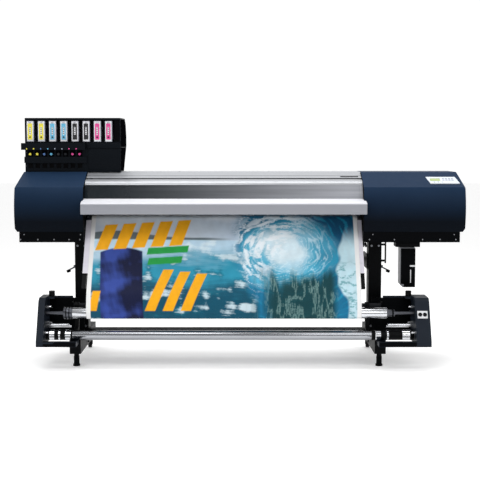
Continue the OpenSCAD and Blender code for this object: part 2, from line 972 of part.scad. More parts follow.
ink_tray(5);  // ink_tray_6
ink_tray(6);  // ink_tray_7
ink_tray(7);  // ink_tray_8
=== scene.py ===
"""The looks of the printer cutter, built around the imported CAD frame. Metres, +Z up, front is -Y."""
import math

import bmesh
import bpy
import numpy as np
from mathutils import Matrix, Vector

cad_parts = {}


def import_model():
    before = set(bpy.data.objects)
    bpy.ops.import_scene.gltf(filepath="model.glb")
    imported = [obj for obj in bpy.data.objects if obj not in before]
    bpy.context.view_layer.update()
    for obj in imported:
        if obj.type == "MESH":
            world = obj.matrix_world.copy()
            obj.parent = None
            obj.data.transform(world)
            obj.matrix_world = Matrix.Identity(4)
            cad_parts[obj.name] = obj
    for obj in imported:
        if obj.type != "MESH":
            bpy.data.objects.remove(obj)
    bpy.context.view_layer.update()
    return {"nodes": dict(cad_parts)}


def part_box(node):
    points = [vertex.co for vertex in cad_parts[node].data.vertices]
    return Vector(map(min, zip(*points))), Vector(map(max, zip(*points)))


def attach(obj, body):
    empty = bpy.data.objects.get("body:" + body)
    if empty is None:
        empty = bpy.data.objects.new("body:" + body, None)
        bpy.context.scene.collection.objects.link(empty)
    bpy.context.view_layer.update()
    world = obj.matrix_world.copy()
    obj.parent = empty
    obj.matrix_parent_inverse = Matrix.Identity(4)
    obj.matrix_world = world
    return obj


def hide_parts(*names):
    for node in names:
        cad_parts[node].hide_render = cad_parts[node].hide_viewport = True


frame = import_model()
NODES = frame["nodes"]

# Places that several pieces share: axes along X as (Y, Z), and X of the legs and take-up boxes.
CORE_AXIS = (-0.300, 0.328)
TENSION_AXIS = (-0.300, 0.196)
LEG_X = (-0.980, 0.834)


# ---- colours and materials ----

def srgb(r, g, b):
    """A linear colour from 0-255 display values."""
    def linear(c):
        c /= 255
        return c / 12.92 if c <= 0.04045 else ((c + 0.055) / 1.055) ** 2.4
    return (linear(r), linear(g), linear(b))


def scaled(color, factor):
    """A colour made darker or lighter, with each channel kept at 1 or less."""
    return tuple(min(1.0, c * factor) for c in color)


class Shader:
    """A material with a Principled shader and helpers that add nodes to it."""

    def __init__(self, name):
        self.material = bpy.data.materials.new(name)
        self.material.use_nodes = True
        self.tree = self.material.node_tree
        self.tree.nodes.clear()
        self.output = self.node("ShaderNodeOutputMaterial")
        self.bsdf = self.node("ShaderNodeBsdfPrincipled")
        self.tree.links.new(self.bsdf.outputs[0], self.output.inputs[0])
        self.coords = self.node("ShaderNodeTexCoord").outputs["Object"]

    def node(self, kind, **settings):
        found = self.tree.nodes.new(kind)
        for key, value in settings.items():
            setattr(found, key, value)
        return found

    def link(self, out, into):
        self.tree.links.new(out, into)

    def placed(self, stretch=(1, 1, 1)):
        mapping = self.node("ShaderNodeMapping")
        mapping.inputs["Scale"].default_value = stretch
        self.link(self.coords, mapping.inputs["Vector"])
        return mapping.outputs[0]

    def noise(self, scale, detail=3.0, stretch=(1, 1, 1), rough=0.5):
        noise = self.node("ShaderNodeTexNoise")
        noise.inputs["Scale"].default_value = scale
        noise.inputs["Detail"].default_value = detail
        noise.inputs["Roughness"].default_value = rough
        self.link(self.placed(stretch), noise.inputs["Vector"])
        return noise.outputs["Fac"]

    def ranged(self, value, low, high, source=(0.3, 0.7)):
        ranged = self.node("ShaderNodeMapRange")
        for key, number in zip(("From Min", "From Max", "To Min", "To Max"), (*source, low, high)):
            ranged.inputs[key].default_value = number
        self.link(value, ranged.inputs["Value"])
        return ranged.outputs[0]

    def mixed(self, factor, first, second):
        mix = self.node("ShaderNodeMix", data_type="RGBA")
        self.link(factor, mix.inputs["Factor"])
        for socket, value in ((mix.inputs[6], first), (mix.inputs[7], second)):
            if isinstance(value, tuple):
                socket.default_value = (*value, 1)
            else:
                self.link(value, socket)
        return mix.outputs[2]

    def color(self, value):
        self.link(value, self.bsdf.inputs["Base Color"])

    def bump(self, height, strength, distance=0.0006):
        bump = self.node("ShaderNodeBump")
        bump.inputs["Strength"].default_value = strength
        bump.inputs["Distance"].default_value = distance
        self.link(height, bump.inputs["Height"])
        self.link(bump.outputs[0], self.bsdf.inputs["Normal"])


GLOSS_SPREAD = (0.86, 1.16)
SMEAR_FINENESS = 4.3


def finish(name, color, rough, metallic=0.0, grain=900.0, bump=0.12, mottle=0.06,
           stretch=(1, 1, 1), patch=7.0, specular=0.5, painted_shade=None):
    """A moulded, painted or metal surface: mottled colour, uneven gloss and a fine grain.

    The last argument is (low Z, high Z, colour at the low end): painted shade that darkens the colour
    downwards, in place of the dimmer light on lower faces.
    """
    shader = Shader(name)
    cloud = shader.noise(patch, 4.0, stretch)
    paint = shader.mixed(shader.ranged(cloud, 0, 1),
                         scaled(color, 1 - mottle), scaled(color, 1 + mottle))
    # Painted shade: from the high Z down to the low Z the colour blends into the darker low-end colour.
    if painted_shade:
        split = shader.node("ShaderNodeSeparateXYZ")
        shader.link(shader.coords, split.inputs[0])
        paint = shader.mixed(shader.ranged(split.outputs["Z"], 0, 1, painted_shade[:2]), painted_shade[2], paint)
    shader.color(paint)
    shader.bsdf.inputs["Specular IOR Level"].default_value = specular
    smear = shader.noise(patch * SMEAR_FINENESS, 5.0, stretch, 0.6)
    glossiest, dullest = GLOSS_SPREAD
    shader.link(shader.ranged(smear, rough * glossiest, min(1.0, rough * dullest)),
                shader.bsdf.inputs["Roughness"])
    shader.bsdf.inputs["Metallic"].default_value = metallic
    shader.bump(shader.noise(grain, 2.0, stretch), bump)
    return shader.material


def brushed(name, color, rough):
    """Metal with its brush marks along X."""
    return finish(name, color, rough, metallic=1.0, grain=300, bump=0.10, mottle=0.05,
                  stretch=(0.04, 1, 1), patch=60)


FITTING_BLACK = srgb(10, 11, 13)
FITTING_ROUGH = 0.45
FITTING_SPECULAR = 0.08
BLEND = 0.0004
HEIGHT_BLEND = 0.0005


def two_tone(name, first, rough, axis=None, radius=0.0, ends=None, below=None):
    """Black fittings on a part of another finish, told apart by where the surface lies.

    axis is the (Y, Z) of a tube along X: what lies outside the radius is black, and so is
    what lies beyond the two ends. below is a height: what lies under it is black.
    """
    shader = Shader(name)
    split = shader.node("ShaderNodeSeparateXYZ")
    shader.link(shader.coords, split.inputs[0])
    if axis:
        flat = shader.node("ShaderNodeCombineXYZ")
        shader.link(split.outputs["Y"], flat.inputs["Y"])
        shader.link(split.outputs["Z"], flat.inputs["Z"])
        away = shader.node("ShaderNodeVectorMath", operation="DISTANCE")
        away.inputs[1].default_value = (0, *axis)
        shader.link(flat.outputs[0], away.inputs[0])
        mask = shader.ranged(away.outputs["Value"], 0, 1, (radius, radius + BLEND))
        for end, (low, high) in zip(ends, ((1, 0), (0, 1))):
            beyond = shader.ranged(split.outputs["X"], low, high, (end - BLEND, end + BLEND))
            both = shader.node("ShaderNodeMath", operation="MAXIMUM")
            shader.link(mask, both.inputs[0])
            shader.link(beyond, both.inputs[1])
            mask = both.outputs[0]
    else:
        mask = shader.ranged(split.outputs["Z"], 1, 0, (below - HEIGHT_BLEND, below + HEIGHT_BLEND))
    cloud = shader.noise(40, 4.0, (0.1, 1, 1))
    base = shader.mixed(shader.ranged(cloud, 0, 1), scaled(first, 0.95), scaled(first, 1.05))
    shader.color(shader.mixed(mask, base, FITTING_BLACK))
    shader.link(shader.ranged(mask, rough, FITTING_ROUGH, (0, 1)), shader.bsdf.inputs["Roughness"])
    if axis:
        shader.link(shader.ranged(mask, 1.0, 0.0, (0, 1)), shader.bsdf.inputs["Metallic"])
    shader.link(shader.ranged(mask, 0.4, FITTING_SPECULAR, (0, 1)),
                shader.bsdf.inputs["Specular IOR Level"])
    shader.bump(shader.noise(700, 2.0), 0.08)
    return shader.material


BLACK_PAINT = finish("black_powder_coat", srgb(5, 6, 8), 0.45, grain=1400, bump=0.25,
                     specular=0.05)
BLACK_PLASTIC = finish("black_moulded_plastic", srgb(4, 5, 7), 0.5, grain=1100, bump=0.22,
                       specular=0.03)
SATIN_BLACK = finish("satin_black_plastic", srgb(9, 10, 12), 0.36, grain=700, bump=0.08,
                     specular=0.1)
GLOSS_BLACK = finish("gloss_black_plastic", srgb(6, 6, 8), 0.5, grain=300, bump=0.02,
                     specular=0.0)
CABINET = finish("cabinet_black", srgb(12, 16, 21), 0.45, grain=1000, bump=0.15, specular=0.05)
# The navy shell has painted shade: its colour darkens from 1.07 m down to near-black at 0.86 m, for the
# dimmer light on its lower front.
NAVY = finish("navy_shell_plastic", srgb(27, 45, 68), 0.42, grain=1500, bump=0.08, specular=0.04,
              mottle=0.03, painted_shade=(0.86, 1.07, srgb(4, 9, 17)))
SILVER = finish("silver_painted_cover", srgb(158, 160, 164), 0.34, 0.35, grain=500, bump=0.02,
                mottle=0.02)
# The cover bar has painted light and shade: light grey on top above 0.98 m, where the top light falls,
# and darker grey on the front below 0.964 m.
BAR_GREY = finish("light_grey_cover_bar", srgb(214, 215, 220), 0.4, 0.1, grain=1500, bump=0.05,
                  mottle=0.02, painted_shade=(0.964, 0.980, srgb(140, 142, 149)))
APRON = two_tone("apron_enamel", srgb(206, 203, 213), 0.4, below=0.558)
SLATE = finish("slate_box_plastic", srgb(25, 31, 40), 0.45, grain=1100, bump=0.2, specular=0.1)
DARK_GREY = finish("dark_grey_paint", srgb(26, 28, 32), 0.42, 0.1, grain=1300, bump=0.18,
                   specular=0.15)
CHASSIS = finish("chassis_paint", srgb(20, 22, 25), 0.45, 0.1, grain=1200, bump=0.18,
                 specular=0.15)
RUBBER = finish("moulded_rubber", srgb(15, 15, 17), 0.75, grain=900, bump=0.3, specular=0.15)
SEAM = finish("shadow_gap", srgb(5, 5, 6), 0.8, grain=900, bump=0.1, specular=0.05)
PANEL = finish("panel_film", srgb(202, 208, 214), 0.35, grain=1500, bump=0.05, mottle=0.015)
CHROME = brushed("polished_chrome", srgb(222, 224, 228), 0.14)
STEEL = brushed("ground_steel", srgb(150, 152, 157), 0.3)
DARK_STEEL = brushed("dark_steel", srgb(84, 86, 92), 0.32)
ALUMINIUM = brushed("brushed_aluminium", srgb(190, 193, 198), 0.34)
TUBE = two_tone("silver_tube", srgb(160, 162, 167), 0.22, axis=TENSION_AXIS, radius=0.0300,
                ends=(-0.992, 0.778))
ZINC = finish("zinc_plate", srgb(120, 123, 128), 0.38, 0.9, grain=500, bump=0.12, mottle=0.12)
PLATEN = brushed("anodised_platen", srgb(108, 111, 117), 0.42)
BOTTLE = finish("bottle_polyethylene", srgb(120, 122, 128), 0.42, grain=500, bump=0.1)
TRAY_WHITE = finish("tray_white_plastic", srgb(158, 160, 172), 0.4, grain=900, bump=0.08)
LABEL_WHITE = finish("label_paper", srgb(212, 213, 216), 0.45, grain=900, bump=0.05, mottle=0.01)
CORE = brushed("core_foil", srgb(200, 202, 206), 0.2)
MEDIA_WHITE = finish("blank_media", srgb(214, 214, 213), 0.38, grain=700, bump=0.03, mottle=0.01)
SCREW = finish("zinc_screw", srgb(150, 152, 156), 0.35, 0.9, grain=600, bump=0.1)
INK_GLOSS = {"rough": 0.35, "grain": 700, "bump": 0.05}
YELLOW = finish("ink_yellow", srgb(222, 210, 70), **INK_GLOSS)
CYAN = finish("ink_cyan", srgb(96, 172, 206), **INK_GLOSS)
INK_BLACK = finish("ink_black", srgb(26, 26, 30), **INK_GLOSS)
MAGENTA = finish("ink_magenta", srgb(208, 66, 138), **INK_GLOSS)
BLUE = finish("cap_blue", srgb(70, 104, 158), **INK_GLOSS)
GREEN_GLASS = finish("panel_display", srgb(160, 176, 118), 0.2, grain=600, bump=0.02)
KEY_GREY = finish("panel_key", srgb(150, 156, 168), 0.4, grain=900, bump=0.05)


# ---- mesh helpers ----

SHARP = 0.6
TINY = 1e-6

def add_prism_x(bm, points, x0, x1, index=0):
    """A closed side profile, drawn as (Y, Z), run from x0 to x1."""
    low = [bm.verts.new((x0, y, z)) for y, z in points]
    high = [bm.verts.new((x1, y, z)) for y, z in points]
    faces = [bm.faces.new(low), bm.faces.new(high)]
    count = len(points)
    for i in range(count):
        j = (i + 1) % count
        faces.append(bm.faces.new((low[i], low[j], high[j], high[i])))
    for face in faces:
        face.material_index = index


def add_box(bm, low, high, index=0):
    """An upright box between two opposite corners."""
    (x0, y0, z0), (x1, y1, z1) = low, high
    add_prism_x(bm, [(y0, z0), (y1, z0), (y1, z1), (y0, z1)], x0, x1, index)


def add_lathe(bm, profile, centre, axis, index=0, steps=40):
    """A turned shape. profile is (distance along axis, radius), from one end to the other."""
    axis = Vector(axis).normalized()
    turn = axis.to_track_quat("Z", "Y").to_matrix()
    centre = Vector(centre)
    rings = []
    for along, radius in profile:
        if radius < TINY:
            rings.append([bm.verts.new(centre + axis * along)])
            continue
        ring = []
        for i in range(steps):
            a = math.tau * i / steps
            ring.append(bm.verts.new(
                centre + turn @ Vector((radius * math.cos(a), radius * math.sin(a), along))))
        rings.append(ring)
    faces = []
    for a, b in zip(rings, rings[1:]):
        for i in range(steps):
            j = (i + 1) % steps
            corners = [a[i % len(a)], a[j % len(a)], b[j % len(b)], b[i % len(b)]]
            corners = list(dict.fromkeys(corners))
            faces.append(bm.faces.new(corners))
    for ring in (rings[0], rings[-1]):
        if len(ring) > 1:
            faces.append(bm.faces.new(ring))
    for face in faces:
        face.material_index = index


def soften(bm, width, segments=2):
    """Rounds every sharp edge."""
    bmesh.ops.recalc_face_normals(bm, faces=bm.faces)
    sharp = [e for e in bm.edges if len(e.link_faces) == 2 and e.calc_face_angle(0) > SHARP]
    bmesh.ops.bevel(bm, geom=sharp, offset=width, segments=segments, profile=0.5,
                    affect="EDGES", clamp_overlap=True)


def add_object(name, data):
    """A new object, linked into the scene."""
    obj = bpy.data.objects.new(name, data)
    bpy.context.scene.collection.objects.link(obj)
    return obj


def make(name, bm, materials, body, replaces=(), matrix=None):
    """Turns a bmesh into a piece that rides on a body."""
    bmesh.ops.recalc_face_normals(bm, faces=bm.faces)
    if matrix is not None:
        bm.transform(matrix)
    mesh = bpy.data.meshes.new(name)
    for edge in bm.edges:
        edge.smooth = len(edge.link_faces) == 2 and edge.calc_face_angle(0) < SHARP
    for face in bm.faces:
        face.smooth = True
    bm.to_mesh(mesh)
    bm.free()
    obj = add_object(name, mesh)
    for material in materials if isinstance(materials, (list, tuple)) else [materials]:
        mesh.materials.append(material)
    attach(obj, body)
    if replaces:
        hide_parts(*replaces)


def make_boxes(name, boxes, edge, material, body, segments=2, matrix=None):
    """One piece of rounded boxes, each given by its two opposite corners."""
    bm = bmesh.new()
    for low, high in boxes:
        add_box(bm, low, high)
    soften(bm, edge, segments)
    make(name, bm, material, body, matrix=matrix)


def add_screw(bm, centre, axis, radius=0.0045, index=0):
    """A pan-head screw with a dished head."""
    add_lathe(bm, [(0, radius), (radius * 0.35, radius), (radius * 0.6, radius * 0.8),
                   (radius * 0.7, radius * 0.45), (radius * 0.45, radius * 0.2), (radius * 0.45, 0)],
              centre, axis, index, 20)


# ---- CAD nodes: material and edges ----

def dress(name, material, width, segments=2):
    """Gives a CAD node its material and rounds its edges with modifiers."""
    obj = NODES[name]
    obj.data.materials.clear()
    obj.data.materials.append(material)
    if width:
        weld = obj.modifiers.new("weld", "WELD")
        weld.merge_threshold = 0.00002
        bevel = obj.modifiers.new("edges", "BEVEL")
        bevel.width = width
        bevel.segments = segments
        bevel.limit_method = "ANGLE"
        bevel.angle_limit = math.radians(38)
        bevel.harden_normals = True


# Material, bevel width, bevel segments and the CAD nodes that get them.
DRESSING = (
    (BLACK_PAINT, 0.003, 3, "left_leg right_leg stand_crossbar"),
    (BLACK_PAINT, 0.001, 2, "left_foot right_foot"),
    (DARK_GREY, 0.0008, 2, "left_caster_fork right_caster_fork"),
    (RUBBER, 0.002, 2, "left_caster_wheel right_caster_wheel"),
    (BLACK_PLASTIC, 0.0012, 2, "left_tray right_tray"),
    (NAVY, 0.006, 4, "left_housing right_housing"),
    (SATIN_BLACK, 0.0015, 2, "left_lock_knob right_lock_knob"),
    (DARK_STEEL, 0.0008, 2, "left_clamp_lever right_clamp_lever"),
    (CHASSIS, 0.002, 2, "chassis_beam"),
    (SILVER, 0.001, 2, "top_cover"),
    (APRON, 0, 2, "apron"),
    (PLATEN, 0, 2, "platen"),
    (ALUMINIUM, 0.0012, 2, "carriage_rail"),
    (DARK_GREY, 0.0015, 2, "capping_station"),
    (BLACK_PLASTIC, 0.001, 2, "power_unit"),
    (PANEL, 0.0018, 3, "operation_panel"),
    (DARK_GREY, 0.002, 2, "print_carriage cutting_carriage"),
    (STEEL, 0.0008, 2, "blade_holder drive_pulley idler_pulley grit_roller"),
    (RUBBER, 0, 2, "scan_belt"),
    (BLACK_PAINT, 0.002, 2, "scan_motor"),
    (DARK_GREY, 0.0006, 2, "pinch_arms"),
    (RUBBER, 0.001, 2, "pinch_rollers"),
    (CHROME, 0.0008, 2, "loading_lever"),
    (MEDIA_WHITE, 0.0006, 2, "supply_roll"),
    (BLACK_PLASTIC, 0.002, 2, "supply_flanges"),
    (BLACK_PAINT, 0.0015, 2, "supply_brackets"),
    (SLATE, 0.0025, 3, "takeup_left_box takeup_right_box"),
    (CORE, 0.0006, 2, "takeup_core"),
    (DARK_STEEL, 0.0015, 2, "takeup_hubs"),
    (TUBE, 0.001, 2, "tension_bar"),
    (DARK_GREY, 0.001, 2, "dancer_shaft"),
    (SATIN_BLACK, 0.0015, 3, "forward_button reverse_button"),
    (BOTTLE, 0.005, 4, "waste_bottle"),
    (CABINET, 0.003, 3, "ink_cabinet"),
    (TRAY_WHITE, 0.0015, 2, "ink_tray_1 ink_tray_2 ink_tray_3 ink_tray_4 "
                             "ink_tray_5 ink_tray_6 ink_tray_7 ink_tray_8"),
)
for surface, bevel_width, bevel_segments, nodes in DRESSING:
    for node in nodes.split():
        dress(node, surface, bevel_width, bevel_segments)


# ---- front cover ----

BAY = (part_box("top_cover")[0].x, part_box("top_cover")[1].x)
WINDOW_TOP = (-0.088, 1.078)
WINDOW_FOOT = (-0.131, 0.997)
HINGE = (-0.022, 1.104)


# Side outlines of the cover's pieces, as (Y, Z).
STRIP = [(-0.022, 1.111), (-0.036, 1.1105), (-0.050, 1.1075), (-0.063, 1.1025), (-0.074, 1.0955),
         (-0.082, 1.0875), WINDOW_TOP, (-0.083, 1.0755), (-0.077, 1.0825), (-0.070, 1.0895),
         (-0.058, 1.097), (-0.048, 1.101), (-0.022, 1.104)]
CHEEK = [(-0.0872, 1.0772), (-0.1302, 0.9968), (-0.1345, 0.9905), (-0.122, 0.988), (-0.076, 1.084)]
BAR = [(-0.240, 0.908), (-0.240, 0.970), (-0.234, 0.977), (-0.180, 0.988), (-0.180, 0.908)]
SHELF = [(-0.186, 0.9867), (-0.140, 0.996), WINDOW_FOOT, (-0.128, 0.993), (-0.136, 0.988),
         (-0.186, 0.979)]
COVER_X = (BAY[0] + 0.001, BAY[1] - 0.001)
BAR_X = (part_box("cover_frame")[0].x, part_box("cover_frame")[1].x)
CHEEK_WIDE = 0.0195
GRIP_HALF = 0.06


def cover_strip():
    """The silver strip over the window, rolled round the hinge line."""
    x0, x1 = COVER_X
    bm = bmesh.new()
    add_prism_x(bm, STRIP, x0, x1)
    soften(bm, 0.001)
    add_lathe(bm, [(0, 0.0), (0, 0.006), (0.001, 0.007), (x1 - x0 - 0.001, 0.007),
                   (x1 - x0, 0.006), (x1 - x0, 0.0)], (x0, *HINGE), (1, 0, 0), steps=24)
    make("cover_strip", bm, SILVER, "front_cover", ["cover_frame"])


def cover_cheeks():
    """The two narrow ends beside the window."""
    x0, x1 = COVER_X
    bm = bmesh.new()
    for a, b in ((x0, x0 + CHEEK_WIDE), (x1 - CHEEK_WIDE, x1)):
        add_prism_x(bm, CHEEK, a, b)
    soften(bm, 0.0008)
    make("cover_cheeks", bm, GLASS, "front_cover")


def cover_bar():
    """The grey bar along the cover's foot, the shelf behind it and two finger strips under it."""
    bm = bmesh.new()
    add_prism_x(bm, BAR, *BAR_X)
    soften(bm, 0.009, 5)
    shelf = bmesh.new()
    add_prism_x(shelf, SHELF, *COVER_X)
    soften(shelf, 0.001)
    make("cover_shelf", shelf, BAR_GREY, "front_cover")
    make("cover_bar", bm, BAR_GREY, "front_cover", ["cover_frame"])
    make_boxes("cover_finger_strips",
               [((x - GRIP_HALF, -0.2408, 0.914), (x + GRIP_HALF, -0.2395, 0.921))
                for x in (BAR_X[0] + 0.10, BAR_X[1] - 0.10)],
               0.0005, BAR_GREY, "front_cover")


def smoked_glass():
    """Tinted acrylic with a painted reflection that grows lighter to the right, and fine lengthwise
    streaks.
    """
    shader = Shader("smoked_acrylic")
    split = shader.node("ShaderNodeSeparateXYZ")
    shader.link(shader.coords, split.inputs[0])
    across = shader.ranged(split.outputs["X"], 0, 1, (BAY[0] + 0.1, BAY[1] - 0.1))
    curve = shader.node("ShaderNodeMath", operation="POWER")
    curve.inputs[1].default_value = 1.5
    shader.link(across, curve.inputs[0])
    # Painted reflection: the base colour runs from near-black at the left to light grey at the right.
    painted_reflection = shader.mixed(curve.outputs[0], srgb(24, 30, 35), srgb(158, 160, 166))
    streak = shader.noise(16, 3.0, (0.05, 1, 2))
    shader.color(shader.mixed(shader.ranged(streak, 0, 0.35), painted_reflection, srgb(14, 17, 20)))
    shader.bsdf.inputs["Roughness"].default_value = 0.2
    shader.bsdf.inputs["Specular IOR Level"].default_value = 0.04
    shader.bsdf.inputs["Alpha"].default_value = 0.94
    shader.bump(shader.noise(40, 2.0), 0.02)
    return shader.material


GLASS = smoked_glass()
cover_strip()
cover_cheeks()
cover_bar()
dress("cover_window", GLASS, 0)


# ---- printed media ----

WEB_HALF = 0.00025
SHEET_HALF = WEB_HALF * 0.9
WEB_STEP = 0.005
WEB_COLUMNS = 400
APRON_ANGLE = math.radians(34)
NOSE_R = 0.040
GUIDE_R = 0.06075
GUIDE_Y = 0.200
SUPPLY_Z = 0.600
WOUND_R = 0.0342
WOUND_STEPS = 48


def arc(mid, radius, start, end, steps):
    """Points on an arc, as (Y, Z)."""
    for i in range(steps + 1):
        a = start + (end - start) * i / steps
        yield (mid[0] + radius * math.cos(a), mid[1] + radius * math.sin(a))


def web_path():
    """The web's centreline from the take-up roll up the apron and over the platen to the supply."""
    low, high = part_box("media_web")
    top_z = high.z - WEB_HALF
    nose = (0.0, top_z - NOSE_R)
    guide = (GUIDE_Y, top_z - GUIDE_R)
    end_y = low.y + WEB_HALF
    core_z = low.z
    half = math.tan(APRON_ANGLE / 2)
    start = (nose[0] - NOSE_R * math.cos(APRON_ANGLE), nose[1] + NOSE_R * math.sin(APRON_ANGLE))
    straight = (start[0] - end_y) / half - (start[1] - core_z)
    foot = (start[0] - straight * math.sin(APRON_ANGLE), start[1] - straight * math.cos(APRON_ANGLE))
    drop_r = (foot[1] - core_z) / math.sin(APRON_ANGLE)
    path = list(arc((end_y + drop_r, core_z), drop_r, math.pi, math.pi - APRON_ANGLE, 24))
    path += list(arc(nose, NOSE_R, math.pi - APRON_ANGLE, math.pi / 2, 24))
    path += list(arc(guide, GUIDE_R, math.pi / 2, 0, 16))
    path.append((guide[0] + GUIDE_R, SUPPLY_Z))
    return path


def resampled(path, step):
    """The path at even steps: the distance along it, Y and Z of each point."""
    points = [Vector(p) for p in path]
    spots = [0.0]
    for a, b in zip(points, points[1:]):
        spots.append(spots[-1] + (b - a).length)
    total = spots[-1]
    count = int(total / step)
    wanted = np.linspace(0, total, count + 1)
    ys = np.interp(wanted, spots, [p.x for p in points])
    zs = np.interp(wanted, spots, [p.y for p in points])
    return wanted, ys, zs


def waves(x, y, seed, octaves, base):
    """Smooth repeatable noise between about -1 and 1, from summed sines at turned angles."""
    rng = np.random.default_rng(seed)
    total = np.zeros_like(x)
    weight = 0.0
    for octave in range(octaves):
        frequency = base * 1.9 ** octave
        strength = 0.62 ** octave
        for _ in range(3):
            angle, phase = rng.uniform(0, math.tau, 2)
            total += strength * np.sin(frequency * (x * math.cos(angle) + y * math.sin(angle)) + phase)
        weight += strength * 3
    return total / weight * 1.9


def swirl(angle, radius, seed, most_turns, slow, fast):
    """Streaks that run round a centre: whole-number turns, so there is no join."""
    rng = np.random.default_rng(seed)
    total = np.zeros_like(angle)
    for _ in range(16):
        turns = rng.integers(-most_turns, most_turns + 1)
        phase, drift = rng.uniform(0, math.tau), rng.uniform(slow, fast)
        total += np.sin(turns * angle + drift * radius + phase)
    return total / 4.2


def ramp(value, low, high):
    """0 below low, 1 above high, and smooth between."""
    t = np.clip((value - low) / (high - low), 0, 1)
    return t * t * (3 - 2 * t)


def over(base, color, mask):
    """One colour over a picture through a mask."""
    return base * (1 - mask[..., None]) + np.array(color) * mask[..., None]


def bar_mask(x, y, x0, x1, y0, y1, lean, edge=0.008):
    """A slanting bar: 1 inside, soft at the edge."""
    shifted = x - lean * (y1 - y)
    return (ramp(shifted, x0 - edge, x0) * (1 - ramp(shifted, x1, x1 + edge))
            * ramp(y, y0 - edge, y0) * (1 - ramp(y, y1, y1 + edge)))


def ridges(noise, sharp):
    """Thin bright lines where the noise crosses zero."""
    return 1 - ramp(np.abs(noise), 0, sharp)


def plain(x, color):
    """A picture of one colour."""
    return np.ones(x.shape + (3,)) * np.array(color)


def laid(art, layer, mask):
    """One picture over another through a mask."""
    return art * (1 - mask[..., None]) + layer * mask[..., None]


def sky_and_sea(x, y, soft, streak, fine):
    """Pale mist over a low ridge, and foam-flecked water under it."""
    sky = over(plain(x, srgb(200, 210, 220)), srgb(128, 168, 202),
               ramp(x + 0.25 * soft, 0.8, 2.0) * 0.8)
    sky = over(sky, srgb(238, 241, 245), ramp(0.16 - y + 0.05 * streak, 0, 0.12) * 0.7)
    sky = over(sky, srgb(158, 166, 178), ramp(y + 0.03 * soft, 0.1, 0.26) * (1 - ramp(x, 0.5, 1.5)) * 0.5)
    horizon = 0.30 + 0.012 * x
    hill = 0.028 + 0.06 * np.exp(-(x - 0.28) ** 2 / 0.14) + 0.012 * soft
    height = ramp(y, horizon - hill - 0.006, horizon - hill + 0.006) * (1 - ramp(x, 1.1, 1.5))
    sky = over(sky, srgb(82, 94, 96), height * 0.9)
    sea = over(plain(x, srgb(186, 212, 228)), srgb(52, 150, 176), ramp(y + 0.09 * streak, 0.40, 0.58))
    sea = over(sea, srgb(8, 84, 106), ramp(y + 0.14 * streak + 0.05 * fine, 0.62, 0.86))
    sea = over(sea, srgb(10, 110, 130), ramp(fine, 0.1, 0.7) * ramp(y, 0.42, 0.5) * 0.7)
    foam = ramp(fine + 0.8 * streak, 0.25, 0.9)
    sea = over(sea, srgb(222, 236, 242), foam * 0.75)
    return laid(sky, sea, ramp(y, horizon - 0.004, horizon + 0.008))


def breaking_wave(x, y, soft, fine):
    """A curling wave in polar form round the middle of its barrel, and where it shows."""
    dx, dy = (x - 2.0) * 0.80, (y - 0.42) * 1.05
    radius, angle = np.hypot(dx, dy), np.arctan2(dy, dx)
    bent = radius + 0.05 * soft + 0.015 * fine
    curl = swirl(angle, bent, seed=11, most_turns=3, slow=9, fast=26)
    comb = swirl(angle, bent, seed=12, most_turns=9, slow=50, fast=150)
    wall = over(plain(x, srgb(214, 232, 240)), srgb(92, 178, 206), ramp(bent + 0.05 * curl, 0.10, 0.26))
    wall = over(wall, srgb(10, 112, 150), ramp(bent + 0.07 * curl, 0.26, 0.44) * 0.92)
    wall = over(wall, srgb(0, 66, 100), ramp(x - 0.5 * y + 0.04 * curl, 1.95, 2.40) * 0.8)
    wall = over(wall, srgb(30, 150, 182), ramp(comb, 0.2, 0.9) * ramp(bent, 0.2, 0.35) * 0.6)
    wall = over(wall, srgb(220, 238, 244), ridges(comb, 0.35) * (1 - ramp(bent, 0.26, 0.44)) * 0.55)
    lit = ramp(0.12 - dx - 0.6 * dy, 0.0, 0.35)
    wall = over(wall, srgb(240, 246, 250), ramp(fine + 0.8 * comb, -0.1, 0.7) * lit
                * (1 - ramp(bent, 0.34, 0.52)) * 0.9)
    wall = over(wall, srgb(238, 245, 249), ridges(fine + 0.3 * comb, 0.22) * lit
                * (1 - ramp(bent, 0.5, 0.8)) * 0.8)
    edge = 1.50 + 0.34 * (y - 0.5) ** 2 + 0.10 * soft + 0.03 * fine
    inside = ramp(x, edge - 0.03, edge + 0.10)
    return wall, inside


def shaded_water(art, x, y, fine):
    """The dark face under the wave, with upright streaks of light, and the pale right edge."""
    upright = waves(x * 6.0, y * 1.2, seed=17, octaves=5, base=6.0)
    dark = ramp(y + 0.06 * upright, 0.60, 0.76) * ramp(x + 0.1 * upright, 1.60, 1.90)
    dark *= 1 - ramp(x, 2.40, 2.50)
    art = over(art, srgb(12, 62, 62), dark * 0.92)
    art = over(art, srgb(140, 172, 168), ridges(upright + 0.4 * fine, 0.22) * dark * 0.55)
    wander = waves(x, y, seed=23, octaves=4, base=9.0)
    band = ramp(x + 0.06 * wander - 0.14 * np.abs(y - 0.62), 2.47, 2.50)
    art = over(art, srgb(196, 222, 230), band * ramp(y, 0.15, 0.4) * 0.9)
    return over(art, srgb(30, 132, 140), ridges(fine, 0.2) * band * ramp(y, 0.5, 0.62) * 0.7)


